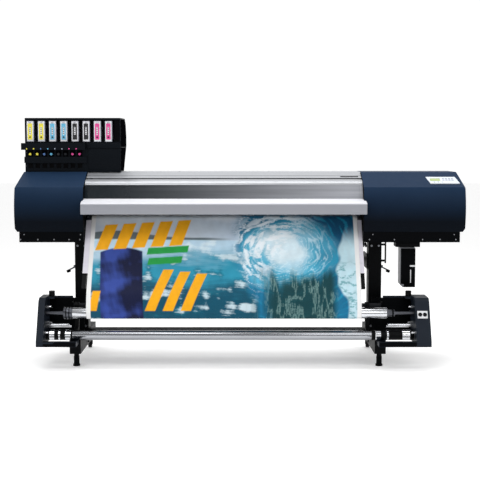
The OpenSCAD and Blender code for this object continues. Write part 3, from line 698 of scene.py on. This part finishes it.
def accents(art, x, y):
    """Plain graphic shapes at the left: a blue column, slanting orange bars and green strips."""
    column = 1 - ramp(np.abs(x - 0.335 - 0.05 * (y - 0.7)), 0.205, 0.215)
    column *= ramp(y - (x - 0.33) ** 2 * 0.96, 0.385, 0.40)
    clouds = waves(x * 2.5, y * 2.5, seed=21, octaves=5, base=9.0)
    shade = 0.35 + 0.5 * np.sin((x - 0.12) * 13.5) + 0.55 * clouds
    art = laid(art, over(plain(x, srgb(14, 24, 62)), srgb(66, 90, 172), np.clip(shade, 0, 1) * 0.8),
               column)
    orange, green = srgb(236, 172, 26), srgb(44, 158, 78)
    for i in range(5):
        left = 0.06 + i * 0.185
        art = over(art, orange, bar_mask(x, y + 0.06 * x, left, left + 0.12, 0.17, 0.42, 0.35))
    for top, start, end in ((0.395, 0.58, 0.98), (0.50, 0.59, 0.92)):
        art = over(art, green, bar_mask(x, y + 0.06 * x, start, end, top + 0.04, top + 0.10, 0.2))
    for i in range(3):
        left = 0.58 + i * 0.175
        art = over(art, orange, bar_mask(x, y, left, left + 0.095, 0.62 + 0.02 * i, 1.0, 0.45))
    return over(art, orange, bar_mask(x, y, 0.03, 0.10, 0.83, 1.0, 0.2))


def artwork(x, y):
    """An abstract sea print. x runs 0-2.7 across the web, y 0-1 from the platen to the roll."""
    soft = waves(x, y, seed=3, octaves=5, base=2.5)
    streak = waves(x * 0.7, y * 3.2, seed=5, octaves=6, base=4.0)
    fine = waves(x * 1.3, y * 3.6, seed=9, octaves=6, base=11.0)
    art = sky_and_sea(x, y, soft, streak, fine)
    wall, inside = breaking_wave(x, y, soft, fine)
    art = laid(art, wall, inside)
    art = shaded_water(art, x, y, fine)
    art = accents(art, x, y)
    speckle = waves(x, y, seed=31, octaves=3, base=40)
    return np.clip(art ** 1.12 * (1 + 0.05 * speckle[..., None]), 0, 1)


def printed_media_material():
    """Printed vinyl: the stored colours under a fine grain and a satin gloss."""
    shader = Shader("printed_media")
    ink = shader.node("ShaderNodeVertexColor", layer_name="print").outputs["Color"]
    grain = shader.noise(700, 3.0)
    shader.color(shader.mixed(shader.ranged(grain, 0, 0.02), ink, srgb(255, 255, 255)))
    shader.link(shader.ranged(shader.noise(30, 4.0), 0.30, 0.42), shader.bsdf.inputs["Roughness"])
    shader.bsdf.inputs["Specular IOR Level"].default_value = 0.04
    shader.bump(shader.noise(5, 2.0, (0.5, 1, 1)), 0.12, 0.002)
    return shader.material


# The print, along the web in metres and across it in the artwork's own width.
ART_TOP = 0.69
ART_LENGTH = 0.67
ART_WIDTH = 2.7
ART_DEEPEST = 1.4
MARGIN = 0.016
MARGIN_BLEND = 0.001
BLANK_ABOVE = -0.16
PAPER = srgb(226, 226, 226)


def printed(u, spot):
    """The colours of the print at a share across the web and a distance up from the roll."""
    v = (ART_TOP - spot) / ART_LENGTH
    colors = artwork(u * ART_WIDTH, np.clip(v, 0, ART_DEEPEST))
    blank = np.maximum(1 - ramp(u, MARGIN - MARGIN_BLEND, MARGIN + MARGIN_BLEND),
                       ramp(u, 1 - MARGIN - MARGIN_BLEND, 1 - MARGIN + MARGIN_BLEND))
    blank = np.maximum(blank, 1 - ramp(v, BLANK_ABOVE, BLANK_ABOVE + 0.005))
    return over(colors, PAPER, blank)


def paint(mesh, colors):
    """Stores one colour at each vertex of the mesh, as the print material reads it."""
    layer = mesh.color_attributes.new("print", "FLOAT_COLOR", "POINT")
    data = np.ones((len(mesh.vertices), 4), np.float32)
    data[:, :3] = PAPER
    data[:len(colors), :3] = colors
    layer.data.foreach_set("color", data.ravel())
    for face in mesh.polygons:
        face.use_smooth = True


def media(material):
    """The whole web as one thin closed sheet, with the print on its face."""
    low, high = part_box("media_web")
    width = high.x - low.x
    spots, ys, zs = resampled(web_path(), WEB_STEP)
    columns = WEB_COLUMNS
    xs = np.linspace(low.x, high.x, columns + 1)
    rows = len(spots)
    grid_x, grid_s = np.meshgrid(xs, spots)
    colors = printed((grid_x - low.x) / width, grid_s)
    normals = np.stack([np.gradient(zs), -np.gradient(ys)], 1)
    normals /= np.linalg.norm(normals, axis=1)[:, None]
    verts, faces = [], []
    for side in (1, -1):
        for row in range(rows):
            y = ys[row] - side * normals[row, 0] * SHEET_HALF
            z = zs[row] - side * normals[row, 1] * SHEET_HALF
            verts += [(x, y, z) for x in xs]
    span = columns + 1
    back = rows * span
    for row in range(rows - 1):
        a = row * span
        faces += [(a + i, a + i + 1, a + i + 1 + span, a + i + span) for i in range(columns)]
        faces += [(back + a + i, back + a + i + span, back + a + i + 1 + span, back + a + i + 1)
                  for i in range(columns)]
        for i in (0, columns):
            quad = (a + i, back + a + i, back + a + i + span, a + i + span)
            faces.append(quad if i else quad[::-1])
    for row in (0, rows - 1):
        a = row * span
        for i in range(columns):
            quad = (a + i, back + a + i, back + a + i + 1, a + i + 1)
            faces.append(quad if row == 0 else quad[::-1])
    mesh = bpy.data.meshes.new("media_print")
    mesh.from_pydata(verts, [], faces)
    paint(mesh, colors.reshape(-1, 3))
    obj = add_object("media_print", mesh)
    mesh.materials.append(material)
    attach(obj, "frame")
    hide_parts("media_web")


def wound_media(material):
    """The outer turn of print on the take-up roll, which carries on from the web."""
    low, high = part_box("media_web")
    columns, steps = WEB_COLUMNS, WOUND_STEPS
    xs = np.linspace(low.x, high.x, columns + 1)
    angles = math.pi + math.tau * np.arange(steps) / steps
    verts = [(x, CORE_AXIS[0] + WOUND_R * math.cos(a), CORE_AXIS[1] + WOUND_R * math.sin(a))
             for a in angles for x in xs]
    span = columns + 1
    faces = []
    for k in range(steps):
        a, b = k * span, (k + 1) % steps * span
        faces += [(a + i, b + i, b + i + 1, a + i + 1) for i in range(columns)]
    faces.append([k * span for k in range(steps)][::-1])
    faces.append([k * span + columns for k in range(steps)])
    mesh = bpy.data.meshes.new("wound_print")
    mesh.from_pydata(verts, [], faces)
    grid_x, grid_a = np.meshgrid(xs, angles)
    colors = printed((grid_x - low.x) / (high.x - low.x), -(grid_a - math.pi) * WOUND_R)
    paint(mesh, colors.reshape(-1, 3))
    obj = add_object("wound_print", mesh)
    mesh.materials.append(material)
    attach(obj, "takeup_spool")


PRINT = printed_media_material()
media(PRINT)
wound_media(PRINT)


# ---- ink cabinet ----

INKS = (YELLOW, YELLOW, CYAN, CYAN, INK_BLACK, INK_BLACK, MAGENTA, MAGENTA)
CAP_COLORS = (YELLOW, YELLOW, BLUE, CYAN, INK_BLACK, DARK_GREY, MAGENTA, MAGENTA)
CABINET_LOW, CABINET_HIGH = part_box("ink_cabinet")
CABINET_FACE = 0.055
CAP_X = [-1.292 + i * 0.0434 for i in range(8)]
SLOT_HALF = 0.01575
LIP_FACE = 0.022
CABINET_CHEEK = [(0.062, 1.160), (0.062, 1.477), (0.318, 1.477), (0.364, 1.446), (0.397, 1.377),
                 (0.397, 1.313), (0.292, 1.214), (0.240, 1.160)]


def ink_label(number, ink):
    """A white label plate with a coloured field, a drop and plain bars, and a grip over it."""
    low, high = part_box(f"ink_tray_{number}")
    y = low.y
    mid = (low.x + high.x) / 2 - 0.001
    z0, z1 = low.z + 0.003, high.z - 0.003
    body = f"ink_tray_{number}"
    bm = bmesh.new()
    add_box(bm, (mid - 0.0185, y - 0.0012, z0), (mid + 0.0185, y + 0.0005, z1))
    add_box(bm, (mid - 0.0140, y - 0.0020, z0 + 0.010), (mid + 0.0140, y - 0.0008, z1 - 0.012), 1)
    add_box(bm, (mid - 0.0050, y - 0.0026, z0 + 0.040), (mid + 0.0050, y - 0.0016, z1 - 0.034))
    for i in range(4):
        z = z0 + 0.046 + i * 0.011
        add_box(bm, (mid - 0.0040, y - 0.0030, z), (mid + 0.0040, y - 0.0022, z + 0.005), 2)
    soften(bm, 0.0003, 1)
    add_lathe(bm, [(0, 0.0055), (0.0008, 0.005), (0.001, 0)], (mid, y - 0.002, z0 + 0.025),
              (0, -1, 0), 2, 20)
    make(f"ink_label_{number}", bm, [LABEL_WHITE, ink, INK_BLACK], body)
    make_boxes(f"ink_tray_grip_{number}",
               [((mid - 0.008, y - 0.006, z1 - 0.0085), (mid + 0.008, y - 0.001, z1 - 0.0045))],
               0.001, TRAY_WHITE, body)


def tray_dividers():
    """The posts between the trays, and a wider one at the right."""
    trays = [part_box(f"ink_tray_{i}") for i in range(1, 9)]
    z0, z1 = trays[0][0].z - 0.001, CABINET_HIGH.z - 0.014
    starts = [high.x + 0.013 for low, high in trays]
    ends = [low.x - 0.002 for low, high in trays[1:]] + [CABINET_HIGH.x - 0.007]
    make_boxes("tray_dividers",
               [((x0, CABINET_FACE + 0.001, z0), (x1, 0.24, z1)) for x0, x1 in zip(starts, ends)],
               0.0015, BLACK_PLASTIC, "frame")


def cap_row():
    """Eight round caps on dark tiles, with a small lamp over each."""
    for i, color in enumerate(CAP_COLORS):
        x = CAP_X[i]
        bm = bmesh.new()
        add_lathe(bm, [(0, 0.0078), (0.003, 0.0078), (0.0045, 0.0068), (0.0048, 0.003),
                       (0.0042, 0)], (x, 0.042, 1.263), (0, -1, 0), 0, 28)
        add_box(bm, (x - 0.0012, 0.0362, 1.2575), (x + 0.0012, 0.0385, 1.2685))
        make(f"ink_cap_{i + 1}", bm, color, "frame")
        bm = bmesh.new()
        add_lathe(bm, [(0, 0.004), (0.0018, 0.004), (0.0028, 0.0028), (0.003, 0)],
                  (x - 0.018, LIP_FACE + 0.0005, 1.2955), (0, -1, 0), 0, 20)
        lamp = KEY_GREY if color in (INK_BLACK, DARK_GREY) else color
        make(f"ink_lamp_{i + 1}", bm, lamp, "frame")
    make_boxes("cap_tiles",
               [((x - 0.0165, CABINET_FACE - 0.003, 1.2485), (x + 0.0165, CABINET_FACE + 0.001, 1.2865))
                for x in CAP_X],
               0.002, GLOSS_BLACK, "frame")


def cabinet_slots():
    """The row of finger slots under the band, each a dark recess between two raised posts."""
    make_boxes("slot_frames",
               [((x + side - 0.00175, CABINET_FACE - 0.0035, 1.174),
                 (x + side + 0.00175, CABINET_FACE + 0.001, 1.208))
                for x in CAP_X for side in (-SLOT_HALF, SLOT_HALF)],
               0.001, CABINET, "frame")
    make_boxes("slot_recesses",
               [((x - 0.0135, CABINET_FACE - 0.0012, 1.178), (x + 0.0135, CABINET_FACE, 1.205))
                for x in CAP_X],
               0.0004, SEAM, "frame", 1)


def cabinet_trim():
    """The step beside the lip, the glossy right cheek with its seam, and the rear louvres."""
    x0, x1, top = CABINET_LOW.x, CABINET_HIGH.x, CABINET_HIGH.z
    face = CABINET_FACE
    make_boxes("cabinet_front_steps",
               [((-0.948, face - 0.006, 1.300), (x1 - 0.001, face + 0.001, 1.330)),
                ((-0.938, face - 0.003, 1.166), (x1 - 0.003, face + 0.001, 1.296)),
                ((x0 + 0.022, face - 0.004, top - 0.013), (x1 - 0.002, face + 0.001, top - 0.003))],
               0.002, CABINET, "frame", 3)
    bm = bmesh.new()
    add_prism_x(bm, CABINET_CHEEK, x1 - 0.0004, x1 + 0.0012)
    soften(bm, 0.0004, 1)
    make("cabinet_cheek", bm, GLOSS_BLACK, "frame")
    make_boxes("cabinet_cheek_seam", [((x1 + 0.0006, 0.064, 1.3035), (x1 + 0.0018, 0.378, 1.3055))],
               0.0003, DARK_GREY, "frame", 1)
    under = Matrix.Translation((0, 0.300, 1.210)) @ Matrix.Rotation(math.atan2(0.100, 0.105), 4, "X")
    make_boxes("cabinet_rear_louvres",
               [((x0 + 0.12, 0.020 + i * 0.011, -0.0022), (x0 + 0.47, 0.025 + i * 0.011, 0.0008))
                for i in range(10)],
               0.0006, SATIN_BLACK, "frame", 1, under)


for number, ink in enumerate(INKS, 1):
    ink_label(number, ink)
tray_dividers()
cap_row()
cabinet_slots()
cabinet_trim()


# ---- housings, trays and covers ----

BEVEL_ANGLE = math.radians(26.2)
ON_BEVEL = Matrix.Translation((0, -0.145, 1.068)) @ Matrix.Rotation(BEVEL_ANGLE, 4, "X")
PANEL_TOP = 0.006


def operation_panel_details():
    """A small display and a row of unmarked keys on the sloping panel."""
    make_boxes("panel_display",
               [((1.153, 0.067, PANEL_TOP - 0.004), (1.213, 0.099, PANEL_TOP - 0.0006))],
               0.0006, GREEN_GLASS, "frame", 1, ON_BEVEL)
    bm = bmesh.new()
    for i in range(4):
        x = 1.226 + i * 0.0185
        for k in range(2):
            y = 0.072 + k * 0.019
            add_box(bm, (x, y, PANEL_TOP - 0.001), (x + 0.013, y + 0.010, PANEL_TOP + 0.0014))
    for i in range(3):
        add_lathe(bm, [(0, 0.0045), (0.0012, 0.0045), (0.0018, 0.0035), (0.0019, 0)],
                  (1.175 + i * 0.024, 0.052, PANEL_TOP - 0.0008), (0, 0, 1), 0, 18)
    soften(bm, 0.0005, 1)
    make("panel_keys", bm, KEY_GREY, "frame", matrix=ON_BEVEL)


LINER = [(-0.150, 0.800), (-0.172, 0.860), (-0.174, 0.930), (-0.166, 1.000), (-0.146, 1.062),
         (0.0, 1.128), (0.06, 1.150), (0.06, 1.10), (-0.05, 1.04), (-0.06, 0.800)]
LINER_THICK = 0.0018


def housing_seams():
    """Shadow lines where the shells meet the centre, with a black liner beside the cover."""
    bm = bmesh.new()
    for x in (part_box("left_housing")[1].x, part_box("right_housing")[0].x - LINER_THICK):
        add_prism_x(bm, LINER, x, x + LINER_THICK)
    soften(bm, 0.0004, 1)
    make("housing_liners", bm, SEAM, "frame")


TRAY_FACE = -0.150


def tray_screws():
    """Two rows of screws along the front of the trays."""
    bm = bmesh.new()
    for x in (-1.322, -1.218, -1.120, -1.030, -0.965, 0.780, 0.930, 1.100, 1.205, 1.300):
        add_screw(bm, (x, TRAY_FACE, 0.752), (0, -1, 0), 0.0042)
    for x in (-1.300, -0.960, 0.800, 1.290):
        add_screw(bm, (x, TRAY_FACE, 0.782), (0, -1, 0), 0.0034)
    make("tray_screws", bm, SCREW, "frame")


def end_vents():
    """Louvres low on both outer ends of the housings, and behind them."""
    ends = ((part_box("left_housing")[0].x, 1), (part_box("right_housing")[1].x, -1))
    louvres = []
    for x, inward in ends:
        x0, x1 = sorted((x - inward * 0.0008, x + inward * 0.003))
        for i in range(9):
            z = 0.850 + i * 0.014
            louvres.append(((x0, 0.06, z), (x1, 0.22, z + 0.006)))
    make_boxes("end_louvres", louvres, 0.001, BLACK_PLASTIC, "frame")
    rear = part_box("left_housing")[1].y
    louvres = []
    for x in (-1.30, 0.98):
        for i in range(12):
            z = 0.86 + i * 0.013
            louvres.append(((x, rear - 0.001, z), (x + 0.26, rear + 0.002, z + 0.006)))
    make_boxes("rear_louvres", louvres, 0.001, BLACK_PLASTIC, "frame")


def top_cover_trim():
    """The groove and plate along the silver top, its rear screws, seams and slots."""
    x0, x1 = BAY[0] + 0.004, BAY[1] - 0.004
    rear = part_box("top_cover")[1].y
    slope = math.atan2(0.035, 0.087)
    along = Matrix.Translation((0, -0.012, 1.119)) @ Matrix.Rotation(slope, 4, "X")
    make_boxes("top_cover_groove", [((x0, 0.030, -0.0006), (x1, 0.033, 0.0004))],
               0.0003, DARK_GREY, "frame", 1, along)
    make_boxes("top_cover_plate", [((x1 - 0.125, 0.010, -0.0006), (x1 - 0.015, 0.024, 0.0010))],
               0.0004, DARK_GREY, "frame", 1, along)
    bm = bmesh.new()
    for x in np.linspace(x0 + 0.05, x1 - 0.05, 7):
        add_screw(bm, (x, rear - 0.0005, 1.02), (0, 1, 0))
    make("top_cover_screws", bm, SCREW, "frame")
    details = []
    for x in (-0.380, 0.180):
        details.append(((x, rear - 0.001, 0.907), (x + 0.0025, rear + 0.0003, 1.152)))
        details.append(((x, 0.078, 1.1535), (x + 0.0025, rear - 0.001, 1.1543)))
    for i in range(3):
        x = -0.66 + i * 0.56
        for k in range(6):
            z = 0.955 + k * 0.011
            details.append(((x - 0.07, rear - 0.001, z), (x + 0.07, rear + 0.0014, z + 0.005)))
    make_boxes("top_cover_seams", details, 0.0004, DARK_GREY, "frame", 1)


operation_panel_details()
housing_seams()
tray_screws()
end_vents()
top_cover_trim()


# ---- stand, bottle and levers ----

def bottle_sleeve():
    """The black sleeve and level strip on the bottle's front, and the plate it hangs behind."""
    low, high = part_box("waste_bottle")
    y = low.y
    make_boxes("bottle_front_sleeve",
               [((low.x + 0.004, y - 0.0035, low.z + 0.021), (high.x + 0.0015, y - 0.0005, 0.690)),
                ((low.x + 0.024, y - 0.0035, low.z + 0.001),
                 (high.x + 0.0015, y - 0.0005, low.z + 0.022))],
               0.001, BLACK_PLASTIC, "waste_bottle")
    make_boxes("bottle_level_strip",
               [((high.x - 0.030, y - 0.0060, low.z + 0.028), (high.x - 0.024, y - 0.003, 0.560)),
                ((high.x - 0.032, y - 0.0075, 0.578), (high.x + 0.002, y - 0.003, 0.588))],
               0.001, LABEL_WHITE, "waste_bottle")
    make_boxes("bottle_level_window",
               [((high.x - 0.034, y - 0.0042, low.z + 0.022), (high.x - 0.020, y - 0.0030, 0.566))],
               0.0005, SEAM, "waste_bottle")
    make_boxes("bottle_bracket_plate", [((0.952, -0.0725, 0.699), (1.097, -0.0702, 0.7345))],
               0.0008, BLACK_PAINT, "frame")


def lever_grips():
    """Moulded grips on the two clamp levers."""
    for side in ("left", "right"):
        low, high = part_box(f"{side}_clamp_lever")
        outer, sign = (low.x, -1) if side == "left" else (high.x, 1)
        tip = Vector((outer - sign * 0.002, low.y + 0.5 * (high.y - low.y), low.z + 0.008))
        bm = bmesh.new()
        add_lathe(bm, [(0, 0.0), (0, 0.006), (0.004, 0.0085), (0.016, 0.0090), (0.024, 0.0070),
                       (0.026, 0.0)], tip - Vector((sign * 0.024, 0, 0)), (sign, 0, -0.35), 0, 20)
        make(f"{side}_lever_grip", bm, BLACK_PLASTIC, f"{side}_clamp_lever")


def foot_bolts():
    """Hex bolts on the front of the columns."""
    bm = bmesh.new()
    for mid in LEG_X:
        for dx in (-0.022, 0.022):
            for z in (0.20, 0.70):
                add_lathe(bm, [(0, 0.0075), (0.005, 0.0075), (0.0058, 0.0062), (0.0058, 0)],
                          (mid + dx, 0.0100, z), (0, -1, 0), 0, 6)
    make("leg_bolts", bm, ZINC, "frame")


bottle_sleeve()
lever_grips()
foot_bolts()


# ---- take-up unit ----

SLOPE_ANGLE = math.radians(64.25)
ON_SLOPE = Matrix.Translation((0, -0.405, 0.171)) @ Matrix.Rotation(SLOPE_ANGLE, 4, "X")


def switch_plate():
    """The white rim round the take-up buttons."""
    bm = bmesh.new()
    add_box(bm, (1.046, 0.145, 0.001), (1.106, 0.191, 0.0034))
    soften(bm, 0.0011, 2)
    for x in (1.062, 1.090):
        add_lathe(bm, [(0.003, 0.0125), (0.0045, 0.0120), (0.0045, 0.0096), (0.003, 0.0094)],
                  (x, 0.168, 0), (0, 0, 1), 1, 32)
    make("switch_rim", bm, [LABEL_WHITE, GLOSS_BLACK], "frame", matrix=ON_SLOPE)


def box_fittings():
    """Chrome pins, dark back liners and base covers on the take-up boxes."""
    bm = bmesh.new()
    for x, way in ((-1.1545, 1), (1.035, -1)):
        for y, z in ((-0.215, 0.352), (-0.190, 0.255), (-0.330, 0.215), (-0.160, 0.180)):
            add_lathe(bm, [(0, 0.0085), (0.010, 0.0085), (0.012, 0.006), (0.022, 0.006),
                           (0.0235, 0.004), (0.0235, 0)], (x, y, z), (way, 0, 0), 0, 24)
    make("takeup_pins", bm, CHROME, "frame")
    make_boxes("takeup_back_liners",
               [((x0, -0.1335, 0.172), (x1, -0.1312, 0.397))
                for x0, x1 in ((-1.154, -0.945), (0.800, 1.0345))],
               0.0008, BLACK_PLASTIC, "frame")
    covers = []
    for x0, x1 in ((-1.153, -0.962), (0.815, 1.034)):
        covers.append(((x0, -0.4052, 0.1440), (x1, -0.4045, 0.1690)))
        covers.append(((x0, -0.4045, 0.1707), (x1, -0.3705, 0.1715)))
    make_boxes("takeup_base_covers", covers, 0.0002, BLACK_PLASTIC, "frame", 1)


def cross_shafts():
    """Short chrome guide rods between the boxes and the feet, as on a powered winder."""
    bm = bmesh.new()
    for x0, x1 in ((-1.154, -1.020), (0.885, 1.034)):
        for y, z, r in ((-0.235, 0.246, 0.007), (-0.165, 0.226, 0.006)):
            add_lathe(bm, [(0, r), (x1 - x0, r)], (x0, y, z), (1, 0, 0), 0, 20)
    make("takeup_guide_rods", bm, CHROME, "frame")


def hub_details():
    """Rings on the two core hubs, turning with the spool."""
    bm = bmesh.new()
    for x in (-1.030, -1.012):
        add_lathe(bm, [(0, 0.0358), (0.001, 0.0372), (0.005, 0.0372), (0.006, 0.0358)],
                  (x, *CORE_AXIS), (1, 0, 0))
    add_lathe(bm, [(0, 0.0205), (0.001, 0.024), (0.008, 0.024), (0.009, 0.0205)],
              (0.900, *CORE_AXIS), (1, 0, 0))
    make("hub_rings", bm, BLACK_PLASTIC, "takeup_spool")


def tension_bar_collars():
    """Chrome collars on the black ends of the tension bar."""
    bm = bmesh.new()
    for x, wide in ((-1.128, 0.030), (-1.075, 0.012), (-1.035, 0.034),
                    (0.800, 0.034), (0.868, 0.012), (0.960, 0.046)):
        add_lathe(bm, [(0, 0.0297), (0.001, 0.0312), (wide - 0.001, 0.0312), (wide, 0.0297)],
                  (x, *TENSION_AXIS), (1, 0, 0))
    make("tension_bar_collars", bm, CHROME, "tension")


switch_plate()
box_fittings()
tension_bar_collars()
cross_shafts()
hub_details()


# ---- stage, light and camera ----

def stage_plane():
    """A pale floor, slightly self-lit so that it reads white."""
    bm = bmesh.new()
    bmesh.ops.create_grid(bm, x_segments=1, y_segments=1, size=30)
    mesh = bpy.data.meshes.new("floor")
    bm.to_mesh(mesh)
    bm.free()
    floor = add_object("floor", mesh)
    paper = finish("studio_floor", srgb(250, 250, 250), 0.8, bump=0.0, mottle=0.003, specular=0.1)
    shader = paper.node_tree.nodes["Principled BSDF"]
    shader.inputs["Emission Color"].default_value = (1, 1, 1, 1)
    shader.inputs["Emission Strength"].default_value = 0.22
    mesh.materials.append(paper)


def area_light(name, place, aim, size, power):
    """A soft rectangular lamp that faces the aim point."""
    data = bpy.data.lights.new(name, "AREA")
    data.shape = "RECTANGLE"
    data.size, data.size_y = size
    data.energy = power
    light = add_object(name, data)
    light.location = place
    light.rotation_euler = (Vector(aim) - Vector(place)).to_track_quat("-Z", "Y").to_euler()


def camera():
    """A long lens in front of the machine, looking slightly down."""
    data = bpy.data.cameras.new("camera")
    data.lens = 83.4
    data.sensor_width = 36
    data.clip_end = 100
    cam = add_object("camera", data)
    cam.location = (0, -6.825, 1.333)
    cam.rotation_euler = (math.radians(85), 0, 0)
    bpy.context.scene.camera = cam


def world():
    """White behind the machine and dimmer in front, so that dark parts stay dark."""
    world = bpy.data.worlds.new("studio")
    world.use_nodes = True
    tree = world.node_tree
    background = tree.nodes["Background"]
    direction = tree.nodes.new("ShaderNodeTexCoord").outputs["Generated"]
    split = tree.nodes.new("ShaderNodeSeparateXYZ")
    grade = tree.nodes.new("ShaderNodeMapRange")
    for key, value in (("From Min", -0.35), ("From Max", 0.25), ("To Min", 0.42), ("To Max", 1.05)):
        grade.inputs[key].default_value = value
    tree.links.new(direction, split.inputs[0])
    tree.links.new(split.outputs["Y"], grade.inputs["Value"])
    tree.links.new(grade.outputs[0], background.inputs["Strength"])
    background.inputs["Color"].default_value = (1, 1, 1, 1)
    bpy.context.scene.world = world
    bpy.context.scene.view_settings.view_transform = "Standard"


stage_plane()
world()
area_light("key", (-1.6, -3.6, 4.6), aim=(0, 0, 0.8), size=(3.4, 2.0), power=95)
area_light("fill", (2.6, -4.2, 3.2), aim=(0.2, 0, 0.8), size=(2.5, 2.0), power=40)
area_light("top", (0, 0.2, 3.9), aim=(0, 0, 1.0), size=(4.4, 1.6), power=95)
camera()
